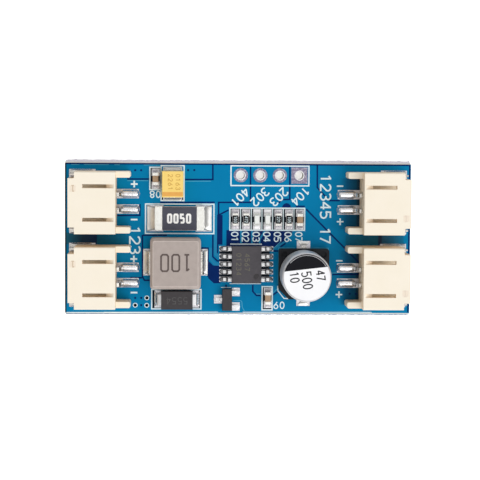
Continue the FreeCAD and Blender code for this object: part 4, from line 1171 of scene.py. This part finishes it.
    def line_holes(self) -> None:
        """Bright levelled rims round the header holes.

        Each rim is a half ellipse carried once round the hole.
        """
        low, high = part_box("header_pads")
        steps = 48
        turn = np.linspace(0, math.pi, 9)
        angle = np.linspace(0, 2 * math.pi, steps, endpoint=False)
        radius = (self.rim_radius + self.rim_reach * np.cos(turn))[:, None]
        height = (high.z / MM - self.rim_sink + self.rim_height * np.sin(turn))[:, None]
        first = np.arange(steps)
        after = np.roll(first, -1)
        last = (len(turn) - 1) * steps
        under = np.stack([after, first, last + first, last + after], -1).tolist()
        rims = Batch()
        for x in self.hole_places:
            points = np.stack([x + radius * np.cos(angle), self.hole_row + radius * np.sin(angle),
                               height + 0 * angle], -1).reshape(-1, 3)
            rims.add(points, grid_faces(len(turn), steps, wrap=True) + under)
        rims.write("hole_rims", Finishes.RIM, smooth=True)

    def snap_edges(self) -> None:
        """Torn glass fibre on the two long edges, where the board was snapped from its panel.

        The surface is a grid along the edge and up the torn band. Its reach is the given width
        times a half wave over the band's height, and times noise smoothed along the edge.
        """
        low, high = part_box("circuit_board")
        random = np.random.default_rng(7)
        steps, rows = 700, 9
        u = np.linspace(low.x / MM + self.tear_ends, high.x / MM - self.tear_ends, steps)
        v = np.linspace(0, 1, rows)
        # The front edge takes the darker copy of the fibre, as painted shade.
        for name, finish, sign, edge, width in (
                ("snapped_back_edge", Finishes.FIBRE, 1, high.y / MM, self.snapped_back),
                ("snapped_front_edge", Finishes.FIBRE_SHADE, -1, low.y / MM, self.snapped_front)):
            rough = random.random((rows, steps + 6))
            rough = (rough[:, :-6] + rough[:, 2:-4] + rough[:, 3:-3] + rough[:, 4:-2]) / 4
            reach = width * np.sin(math.pi * v)[:, None] * (0.35 + 0.9 * rough)
            y = edge - sign * self.tear_overlap + sign * reach
            z = self.tear_low + self.tear_height * v[:, None] + 0 * reach
            points = np.stack([u + 0 * y, y, z], -1).reshape(-1, 3)
            inner = np.stack([u + 0 * y, edge - sign * self.tear_root + 0 * y, z],
                             -1).reshape(-1, 3)
            faces = grid_faces(rows, steps)
            count = rows * steps
            back = (np.array(faces)[:, ::-1] + count).tolist()
            numbers = np.arange(count).reshape(rows, steps)
            rim = np.concatenate([numbers[0], numbers[1:, -1], numbers[-1, -2::-1],
                                  numbers[-2:0:-1, 0]])
            walls = np.stack([rim, rim + count, np.roll(rim, -1) + count, np.roll(rim, -1)],
                             -1).tolist()
            piece(name, np.vstack([points, inner]), faces + back + walls, finish)


# Solid nodes


def dress(node: str, finish: Finish) -> None:
    """Gives a solid node its finish.

    Args:
        node: Name of the node.
        finish: Its finish.
    """
    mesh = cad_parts[node].data
    mesh.materials.clear()
    mesh.materials.append(finish.material())
    log.info("%s wears %s", node, finish.name)


def middle_of(node: str) -> tuple[float, float, float]:
    """Centre and top of a node.

    Args:
        node: Name of the node.

    Returns:
        Its middle X and Y and its highest Z, in millimetres.
    """
    low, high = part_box(node)
    centre = (low + high) / 2 / MM
    return centre.x, centre.y, high.z / MM


# Parts


@dataclass
class Socket:
    """One wire socket: housing, two contacts and two brackets."""

    side: Side
    number: int
    mark_from_mouth: float = 0.66
    mark_from_centre: float = 1.8
    mark_height: float = 0.78
    mark_stroke: float = 0.13
    mark_rise: float = 0.01
    ground_shift: float = 0.02
    ground_rise: float = 0.003
    sink: float = 0.02

    @property
    def name(self) -> str:
        """Start of the socket's node names."""
        return f"{self.side.name.lower()}_socket_{self.number}"

    def build(self) -> None:
        """Dresses the socket and adds the moulded figure one on its roof, drawn darker as painted
        shade.
        """
        dress(f"{self.name}_housing", Finishes.NYLON)
        dress(f"{self.name}_contacts", Finishes.TIN)
        dress(f"{self.name}_brackets", Finishes.TIN)
        low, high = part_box(f"{self.name}_housing")
        sign = self.side.value
        mouth = (high.x if sign > 0 else low.x) / MM
        x = mouth - sign * self.mark_from_mouth
        y = (low.y + high.y) / 2 / MM - sign * self.mark_from_centre
        roof = high.z / MM
        batch = Batch()
        Line("I", x, y, self.mark_height, 90 - 90 * sign, self.mark_stroke, aspect=1.1).draw(
            batch, roof - self.sink, roof + self.mark_rise)
        # The solar sockets take a fainter copy of the mark's painted shade.
        battery = self.side is Side.BATTERY
        batch.write(f"{self.name}_mark",
                    Finishes.NYLON_MARK_PAINTED_SHADE if battery else Finishes.NYLON_FAINT_PAINTED_SHADE)
        half = self.mark_height / 2
        away = x + sign * self.ground_shift
        ground = corners_of((away - half, y - half, away + half, y + half))
        piece(f"{self.name}_mark_ground",
              *plate(ground, roof - self.sink, roof + self.ground_rise), Finishes.NYLON_GROUND_PAINTED_SHADE)


@dataclass
class Inductor:
    """Moulded power inductor with its value on top."""

    figure_height: float = 2.12
    figure_width: float = 0.72
    figure_pitch: float = 0.67
    figure_shift: Point = (0.03, 0.13)
    stroke: float = 0.23
    sink: float = 0.01
    ink: float = 0.01
    # Line of painted highlight inside the top edge.
    rim_inset: float = 0.36
    rim_radius: float = 0.25
    rim_width: float = 0.1
    rim_rise: float = 0.005

    def build(self) -> None:
        """Dresses the inductor, prints its figures and lays a painted highlight line inside its top
        edge.
        """
        dress("inductor_body", Finishes.IRON)
        dress("inductor_terminals", Finishes.TIN)
        x, y, top = middle_of("inductor_body")
        batch = Batch()
        Line("IOO", x + self.figure_shift[0], y + self.figure_shift[1], self.figure_height,
             Turn.REVERSED.value, self.stroke, self.figure_pitch, self.figure_width).draw(
                 batch, top - self.sink, top + self.ink)
        batch.write("inductor_figures", Finishes.IRON_MARK)
        low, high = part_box("inductor_body")
        half_x = (high.x - low.x) / 2 / MM - self.rim_inset
        half_y = (high.y - low.y) / 2 / MM - self.rim_inset
        steps = 7
        turn = np.radians(np.arange(0, 360, 90)[:, None] + np.linspace(0, 90, steps)).ravel()
        corner = np.repeat([[1, 1], [-1, 1], [-1, -1], [1, -1]], steps, axis=0)
        rim = (corner * (half_x - self.rim_radius, half_y - self.rim_radius)
               + self.rim_radius * np.column_stack([np.cos(turn), np.sin(turn)]) + (x, y))
        piece("inductor_highlight_line", *ribbon(rim, self.rim_width, top - self.sink,
                                      top + self.rim_rise, closed=True), Finishes.IRON_PAINTED_HIGHLIGHT)


@dataclass
class Packages:
    """Black packages, the tantalum capacitor and the sense resistor."""

    sink: float = 0.01
    ink: float = 0.006
    paint: float = 0.01
    band: float = 0.53
    band_half: float = 1.3
    band_from_edge: float = 0.2
    dimple: Point = (1.2, -1.42)
    dimple_radius: float = 0.38
    dimple_depth: float = 0.065
    dimple_floor: float = 0.02

    def build(self) -> None:
        """Dresses the packages and prints their figures."""
        dress("controller_chip_body", Finishes.EPOXY)
        dress("transistor_body", Finishes.EPOXY_DARK)
        dress("diode_body", Finishes.EPOXY_DARK)
        dress("diode_terminals", Finishes.LEAD)
        dress("controller_chip_leads", Finishes.LEAD)
        dress("transistor_leads", Finishes.PLATE)
        dress("sense_resistor_body", Finishes.CERAMIC)
        dress("sense_resistor_coat", Finishes.COAT)
        dress("sense_resistor_end_caps", Finishes.CAP)
        dress("tantalum_capacitor_body", Finishes.TANTALUM)
        dress("tantalum_capacitor_terminals", Finishes.TIN)
        self.print_figures()
        self.print_tantalum()

    def print_figures(self) -> None:
        """Figures on the sense resistor, the chip and the diode."""
        batch = Batch()
        x, y, top = middle_of("sense_resistor_coat")
        Line("OOSO", x - 0.05, y, 1.03, stroke=0.26, pitch=0.79, aspect=0.68).draw(
            batch, top - self.sink, top + self.paint)
        batch.write("sense_resistor_figures", Finishes.WHITE_MARK)
        batch = Batch()
        x, y, top = middle_of("controller_chip_body")
        for column, text, place in ((0.05, "4567", 0.35), (-1.03, "01234", 0.1)):
            Line(text, x + column, y + place, 0.6, Turn.DOWNWARDS.value, 0.09, 1.0, 1.1).draw(
                batch, top - self.sink, top + self.ink)
        batch.write("chip_figures", Finishes.EPOXY_MARK)
        batch = Batch()
        x, y, top = middle_of("diode_body")
        Line("5554", x, y, 0.85, Turn.REVERSED.value, 0.1).draw(
            batch, top - self.sink, top + self.ink)
        batch.write("diode_figures", Finishes.FAINT_MARK)
        x, y, top = middle_of("controller_chip_body")
        disc = np.array([[self.dimple_radius, 0.0], [self.dimple_radius, self.dimple_floor]])
        points, faces = turned_profile(disc, x + self.dimple[0], y + self.dimple[1], 40)
        piece("chip_dimple_floor", points + (0, 0, top - self.dimple_depth), faces,
              Finishes.EPOXY_DARK)

    def print_tantalum(self) -> None:
        """Polarity band and figures on the tantalum capacitor."""
        x, y, top = middle_of("tantalum_capacitor_body")
        low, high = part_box("tantalum_capacitor_body")
        foot = low.y / MM + self.band_from_edge
        band = corners_of((x - self.band_half, foot, x + self.band_half, foot + self.band))
        piece("tantalum_band", *plate(band, top - self.sink, top + self.ink),
              Finishes.TANTALUM_BAND)
        batch = Batch()
        for column, text in ((-0.3, "2261"), (0.68, "0163")):
            Line(text, x + column, y + 0.3, 0.55, Turn.DOWNWARDS.value, 0.09, 1.0, 1.1).draw(
                batch, top - self.sink, top + self.ink)
        batch.write("tantalum_figures", Finishes.TANTALUM_MARK)


@dataclass
class Electrolytic:
    """Aluminium can on its seat: drawn can with a rolled groove and a printed top."""

    radius: float = 3.15
    shoulder: float = 0.3
    groove: float = 0.24
    groove_height: float = 1.6
    groove_reach: float = 0.32
    foot_inset: float = 0.5
    foot_bevel: float = 0.05
    chord: float = 1.05
    ink_turn: float = 6.5
    ink_inset: float = 0.2
    sink: float = 0.01
    disc_rise: float = 0.004
    ink: float = 0.01
    # Arc of painted highlight inside the dark segment's edge.
    rim: float = 0.16
    rim_width: float = 0.045
    rim_sink: float = 0.005
    rim_rise: float = 0.022
    rim_span: Point = (28.0, 140.0)

    def build(self) -> None:
        """Dresses the seat and leads, turns the can and prints its top.

        The can's profile goes from its foot up through the groove, whose depth is a squared
        cosine over its height, to the shoulder, which is a quarter circle.
        """
        dress("capacitor_seat", Finishes.SEAT)
        dress("capacitor_leads", Finishes.TIN)
        x, y, top = middle_of("capacitor_can")
        low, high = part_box("capacitor_can")
        radius, bevel = self.radius, self.foot_bevel
        base = low.z / MM
        swing = np.linspace(-math.pi / 2, math.pi / 2, 13)
        crimp = np.column_stack([radius - self.groove * np.cos(swing) ** 2, base
                                 + self.groove_height + self.groove_reach * swing / (math.pi / 2)])
        bend = np.linspace(0, math.pi / 2, 13)
        shoulder = np.column_stack([radius - self.shoulder * (1 - np.cos(bend)),
                                    top - self.shoulder * (1 - np.sin(bend))])
        foot = [[radius - self.foot_inset, base], [radius - bevel, base], [radius, base + bevel]]
        profile = np.vstack([foot, crimp, shoulder])
        points, faces = turned_profile(profile, x, y, 128)
        piece("can_shell", points, faces, Finishes.CAN, ("capacitor_can",), smooth=True)
        self.print_top(x, y, top, radius - self.ink_inset)

    def print_top(self, x: float, y: float, top: float, reach: float) -> None:
        """White disc with the dark segment of the negative side, three lines of figures and a
        painted highlight arc.

        Args:
            x: Centre of the can.
            y: Centre of the can.
            top: Height of the can's top.
            reach: Radius of the printed disc.
        """
        ink = Batch()
        disc = np.array([[reach, top - self.sink], [reach, top + self.disc_rise]])
        piece("can_disc", *turned_profile(disc, x, y), Finishes.CAN_TOP)
        half = math.acos(self.chord / reach)
        swing = np.linspace(-half, half, 48) + math.pi / 2 + math.radians(self.ink_turn)
        outline = np.column_stack([x + reach * np.cos(swing), y + reach * np.sin(swing)])
        ink.add(*plate(outline.tolist(), top - self.sink, top + self.ink))
        for text, place, height in (("47", (1.72, 0.25), 1.05), ("500", (0.02, -0.38), 1.18),
                                    ("10", (-1.58, 0.0), 1.1)):
            Line(text, x + place[0], y + place[1], height, Turn.CAN.value, 0.15, 0.67, 0.84).draw(
                ink, top - self.sink, top + self.ink)
        ink.write("can_ink", Finishes.CAN_INK)
        # Arc of painted highlight inside the edge of the dark segment.
        swing = np.radians(np.linspace(*self.rim_span, 60))
        rim = np.column_stack([x + (reach - self.rim) * np.cos(swing),
                               y + (reach - self.rim) * np.sin(swing)])
        piece("can_highlight_arc", *ribbon(rim, self.rim_width, top - self.rim_sink,
                                      top + self.rim_rise), Finishes.CAN)


@dataclass
class SmallParts:
    """Chip resistors, ceramic capacitors and lamps."""

    resistor_figures: tuple[str, ...] = ("103", "472", "221", "105")
    figure_height: float = 0.36
    figure_stroke: float = 0.055
    coat_height: float = 0.04
    ink: float = 0.02

    def build(self) -> None:
        """Dresses the small parts and prints the resistors' figures."""
        dress("resistor_coats", Finishes.COAT_SMALL)
        batch = Batch()
        for number, text in enumerate(self.resistor_figures, start=1):
            dress(f"resistor_{number}_body", Finishes.CERAMIC)
            dress(f"resistor_{number}_end_caps", Finishes.CAP)
            x, y, top = middle_of(f"resistor_{number}_body")
            Line(text, x, y, self.figure_height, Turn.DOWNWARDS.value, self.figure_stroke,
                 0.78).draw(batch, top + self.coat_height, top + self.coat_height + self.ink)
        batch.write("resistor_figures", Finishes.SILK)
        for name in ("input", "filter", "bypass"):
            dress(f"{name}_capacitor_body", Finishes.TAN)
            dress(f"{name}_capacitor_end_caps", Finishes.CAP)
        for name in ("charging", "charged"):
            dress(f"{name}_lamp_base", Finishes.LAMP_BASE)
            dress(f"{name}_lamp_lens", Finishes.LENS)
            dress(f"{name}_lamp_end_caps", Finishes.LAMP_CAP)


@dataclass(frozen=True)
class EndJoint:
    """Solder at both ends of a part that has a pad at each end.

    The span is the distance over both pads. The widths are those at the part and at the pad's
    outer edge, and the height is the one at the part.
    """

    node: str
    span: float
    widths: Point
    height: float
    upright: bool = False


@dataclass(frozen=True)
class FootJoint:
    """Solder round the foot of a lead: length of its centre line, reach, crest and crown."""

    length: float
    radius: float
    crest: float
    crown: float


@dataclass
class Solder:
    """Solder of every joint, drawn up the feet and end faces and out to the pads' edges."""

    gap: float = 0.01
    small_parts: tuple[str, ...] = (
        "resistor_1", "resistor_2", "resistor_3", "resistor_4", "charging_lamp", "charged_lamp",
        "input_capacitor", "filter_capacitor", "bypass_capacitor",
    )
    small_span: float = 2.65
    small_widths: Point = (0.78, 0.86)
    small_height: float = 0.12
    capacitor_height: float = 0.26
    smooth_ends: tuple[EndJoint, ...] = (
        EndJoint("sense_resistor_end_caps", 8.4, (3.1, 3.38), 0.42),
        EndJoint("inductor_terminals", 8.38, (3.0, 3.4), 0.25),
        EndJoint("tantalum_capacitor_terminals", 4.4, (2.2, 2.4), 0.35, upright=True),
        EndJoint("capacitor_leads", 8.5, (0.75, 1.7), 0.2, upright=True),
    )
    diode_ends: EndJoint = EndJoint("diode_terminals", 5.84, (1.4, 2.2), 0.45)
    chip_foot: FootJoint = FootJoint(0.6, 0.31, 0.2, 0.7)
    chip_from_tip: float = 0.12
    chip_rows: tuple[float, ...] = (-2.0, -1.0, 0.0, 1.0, 2.0)
    transistor_foot: FootJoint = FootJoint(0.3, 0.4, 0.08, 0.5)
    transistor_from_tip: float = 0.1
    transistor_rows: Point = (0.95, -0.95)
    contact_foot: FootJoint = FootJoint(1.45, 0.56, 0.62, 0.58)
    contact_from_tip: float = 0.78
    contact_rows: Point = (1.0, -1.0)
    bracket_reach: float = 0.16
    bracket_widths: Point = (2.7, 2.9)
    bracket_height: float = 0.3

    def build(self) -> None:
        """Lays the solder of the parts and of the sockets."""
        small, lamps, smooth, diode = Batch(), Batch(), Batch(), Batch()
        for name in self.small_parts:
            height = self.capacitor_height if "capacitor" in name else self.small_height
            self.both_ends(lamps if "lamp" in name else small,
                           EndJoint(f"{name}_end_caps", self.small_span, self.small_widths, height,
                                    upright=True))
        for joint in self.smooth_ends:
            self.both_ends(smooth, joint)
        self.both_ends(diode, self.diode_ends)
        lamps.write("lamp_joints", Finishes.PLATE, smooth=True)
        smooth.write("smooth_joints", Finishes.FILLET, smooth=True)
        self.chip_feet()
        small.write("small_joints", Finishes.JOINT, smooth=True)
        self.transistor_feet()
        diode.write("part_joints", Finishes.SOLDER, replaces=("part_solder",), smooth=True)
        self.socket_joints()

    def both_ends(self, batch: Batch, joint: EndJoint) -> None:
        """Fillets at both ends of a two-ended part.

        Args:
            batch: Batch to add to.
            joint: The part's node and the sizes of its solder.
        """
        low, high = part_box(joint.node)
        first, second = (1, 0) if joint.upright else (0, 1)
        middle = (low[second] + high[second]) / 2 / MM
        centre = (low[first] + high[first]) / 2 / MM
        for sign, face in ((1, high[first] / MM), (-1, low[first] / MM)):
            batch.add(*fillet(face - sign * self.gap, centre + sign * joint.span / 2, middle,
                              joint.widths, joint.height, joint.upright))

    def feet(self, batch: Batch, x: float, y: float, rows: tuple[float, ...],
             foot: FootJoint) -> None:
        """Solder round a row of feet.

        Args:
            batch: Batch to add to.
            x: Middle of the feet.
            y: Middle of the row.
            rows: Distance of each foot from the middle of the row.
            foot: Sizes of the solder.
        """
        for row in rows:
            batch.add(*mound(x, y + row, foot.length, foot.radius, foot.crest, foot.crown))

    def chip_feet(self) -> None:
        """Solder round the feet of the chip's gull-wing leads."""
        batch = Batch()
        low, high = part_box("controller_chip_leads")
        y = (low.y + high.y) / 2 / MM
        for sign, tip in ((1, high.x / MM), (-1, low.x / MM)):
            self.feet(batch, tip - sign * self.chip_from_tip, y, self.chip_rows, self.chip_foot)
        batch.write("chip_joints", Finishes.CHIP_JOINT, smooth=True)

    def transistor_feet(self) -> None:
        """Solder round the transistor's feet, two on the right and one on the left."""
        batch = Batch()
        low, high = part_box("transistor_leads")
        y = (low.y + high.y) / 2 / MM
        self.feet(batch, high.x / MM - self.transistor_from_tip, y, self.transistor_rows,
                  self.transistor_foot)
        self.feet(batch, low.x / MM + self.transistor_from_tip, y, (0.0,), self.transistor_foot)
        batch.write("transistor_joints", Finishes.PLATE, smooth=True)

    def socket_joints(self) -> None:
        """Solder along each socket's two contacts and beside its brackets."""
        batch = Batch()
        for side in Side:
            for number in (1, 2):
                name, sign = f"{side.name.lower()}_socket_{number}", side.value
                low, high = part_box(f"{name}_contacts")
                tip = (low.x if sign > 0 else high.x) / MM
                self.feet(batch, tip + sign * self.contact_from_tip, (low.y + high.y) / 2 / MM,
                          self.contact_rows, self.contact_foot)
                low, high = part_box(f"{name}_brackets")
                x = (low.x + high.x) / 2 / MM
                for edge, out in ((high.y / MM, 1), (low.y / MM, -1)):
                    batch.add(*fillet(edge - out * self.gap, edge + out * self.bracket_reach, x,
                                      self.bracket_widths, self.bracket_height, upright=True))
        batch.write("socket_joints", Finishes.SOLDER, replaces=("socket_solder",), smooth=True)


# Stage


@dataclass
class Studio:
    """White table, even light from a pale sky, a soft key from the right, and the camera.

    Places are in millimetres, angles in degrees.
    """

    table_half: float = 1500.0
    table_drop: float = 0.1
    table_glow: float = 0.66
    eye: tuple[float, float, float] = (-8.53, 13.62, 211.6)
    target: tuple[float, float, float] = (0.22, -0.185, 1.6)
    roll: float = -0.366
    lens: float = 121.53
    sky: float = 1.22
    sky_ramp: tuple[Point, ...] = ((0.0, 0.3), (0.3, 0.9), (0.7, 1.0), (0.88, 0.6), (1.0, 0.4))
    gloss_ramp: tuple[Point, ...] = ((0.0, 1.0), (0.14, 0.6), (0.3, 0.06), (0.62, 0.1),
                                     (0.8, 1.1), (0.92, 1.6), (1.0, 1.6))
    patch_scale: float = 5.0
    patch_floor: float = 0.38
    patch_gain: float = 6.0
    patch_range: Point = (0.25, 1.1)
    lean: Point = (0.3, -0.3)
    sun: float = 1.0
    sun_spread: float = 50.0
    sun_way: tuple[float, float, float] = (-0.55, 0.6, -1.0)

    def build(self) -> None:
        """Builds the table, the light and the camera."""
        self.table()
        self.light()
        self.camera()

    def table(self) -> None:
        """White table that takes a faint shadow, and glows a little for the camera alone."""
        mesh = bpy.data.meshes.new("table")
        size, level = self.table_half * MM, -self.table_drop * MM
        mesh.from_pydata([(-size, -size, level), (size, -size, level), (size, size, level),
                          (-size, size, level)], [], [[0, 1, 2, 3]])
        table = bpy.data.objects.new("table", mesh)
        bpy.context.scene.collection.objects.link(table)
        graph = material_graph("table_paper")
        grain = graph.mix(graph.noise(300), linear(250, 250, 250), linear(255, 255, 255))
        matt = graph.add("ShaderNodeBsdfDiffuse", Color=grain)
        glow = graph.add("ShaderNodeEmission", Color=(1.0, 1.0, 1.0, 1.0),
                         Strength=self.table_glow)
        both = graph.add("ShaderNodeAddShader")
        graph.tree.links.new(matt.outputs[0], both.inputs[0])
        graph.tree.links.new(glow.outputs[0], both.inputs[1])
        path = graph.add("ShaderNodeLightPath")
        seen = graph.add("ShaderNodeMixShader", Fac=path.outputs["Is Camera Ray"])
        graph.tree.links.new(matt.outputs[0], seen.inputs[1])
        graph.tree.links.new(both.outputs[0], seen.inputs[2])
        graph.finish(seen.outputs[0])
        mesh.materials.append(graph.owner)

    def light(self) -> None:
        """Studio light: bright all round at middle height, softer straight above, broad key lamp.

        The brightness of a direction is a ramp of its height, times one plus a lean towards +X
        and -Y. Rays that come off a gloss see the white backdrop low down and a white panel
        above, with a dark band between them and soft patches. The camera sees plain white.
        """
        world = bpy.data.worlds.new("sky")
        bpy.context.scene.world = world
        graph = Graph(world, "ShaderNodeOutputWorld")
        way = graph.add("ShaderNodeTexCoord").outputs["Generated"]
        split = graph.add("ShaderNodeSeparateXYZ", Vector=way)

        def brightness(stops: tuple[Point, ...]) -> bpy.types.NodeSocket:
            """Brightness by height, in straight lines between stops.

            Args:
                stops: Height and brightness of each stop.

            Returns:
                The brightness socket.
            """
            greys = tuple((height, (value, value, value)) for height, value in stops)
            return graph.ramp(split.outputs["Z"], greys)

        lean = graph.math("ADD", graph.math("MULTIPLY", split.outputs["X"], self.lean[0]),
                          graph.math("MULTIPLY", split.outputs["Y"], self.lean[1]))
        plain = graph.math("MULTIPLY", brightness(self.sky_ramp), graph.math("ADD", lean, 1.0))
        plain = graph.math("MULTIPLY", plain, self.sky)
        noise = graph.add("ShaderNodeTexNoise", Vector=way, Scale=self.patch_scale, Detail=1.0)
        patches = graph.math("SUBTRACT", noise.outputs["Fac"], self.patch_floor)
        patches = graph.math("MULTIPLY", patches, self.patch_gain)
        patches = graph.math("MAXIMUM", patches, self.patch_range[0])
        patches = graph.math("MINIMUM", patches, self.patch_range[1])
        gloss = graph.math("MULTIPLY", brightness(self.gloss_ramp), patches)
        path = graph.add("ShaderNodeLightPath")
        glossy = path.outputs["Is Glossy Ray"]
        seen = path.outputs["Is Camera Ray"]
        rest = graph.math("SUBTRACT", graph.math("SUBTRACT", 1.0, glossy), seen)
        level = graph.math("ADD", graph.math("MULTIPLY", gloss, glossy),
                           graph.math("ADD", seen, graph.math("MULTIPLY", plain, rest)))
        graph.finish(graph.add("ShaderNodeBackground", Strength=level).outputs[0])
        data = bpy.data.lights.new("key", "SUN")
        data.energy = self.sun
        data.angle = math.radians(self.sun_spread)
        key = bpy.data.objects.new("key", data)
        bpy.context.scene.collection.objects.link(key)
        key.rotation_euler = Vector(self.sun_way).to_track_quat("-Z", "Y").to_euler()

    def camera(self) -> None:
        """Camera high above the board's upper left that looks down at its middle."""
        data = bpy.data.cameras.new("camera")
        camera = bpy.data.objects.new("camera", data)
        bpy.context.scene.collection.objects.link(camera)
        eye, target = Vector(self.eye) * MM, Vector(self.target) * MM
        forward = (target - eye).normalized()
        up = Vector((0, 1, 0)) - forward * forward.y
        up.normalize()
        right = forward.cross(up)
        turn = math.radians(self.roll)
        up = up * math.cos(turn) + right * math.sin(turn)
        right = forward.cross(up)
        matrix = np.eye(4)
        matrix[:3, 0], matrix[:3, 1], matrix[:3, 2], matrix[:3, 3] = right, up, -forward, eye
        camera.matrix_world = Matrix(matrix.tolist())
        data.lens = self.lens
        data.sensor_width = 36
        data.clip_start = 0.005
        bpy.context.scene.camera = camera
        bpy.context.scene.view_settings.view_transform = "Standard"


def main() -> None:
    """Builds the dressed module in order."""
    logging.basicConfig(level=logging.INFO, format="%(message)s")
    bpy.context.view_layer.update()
    Board().build()
    for side in Side:
        for number in (1, 2):
            Socket(side, number).build()
    Inductor().build()
    Packages().build()
    Electrolytic().build()
    SmallParts().build()
    Solder().build()
    Studio().build()


if __name__ == "__main__":
    main()
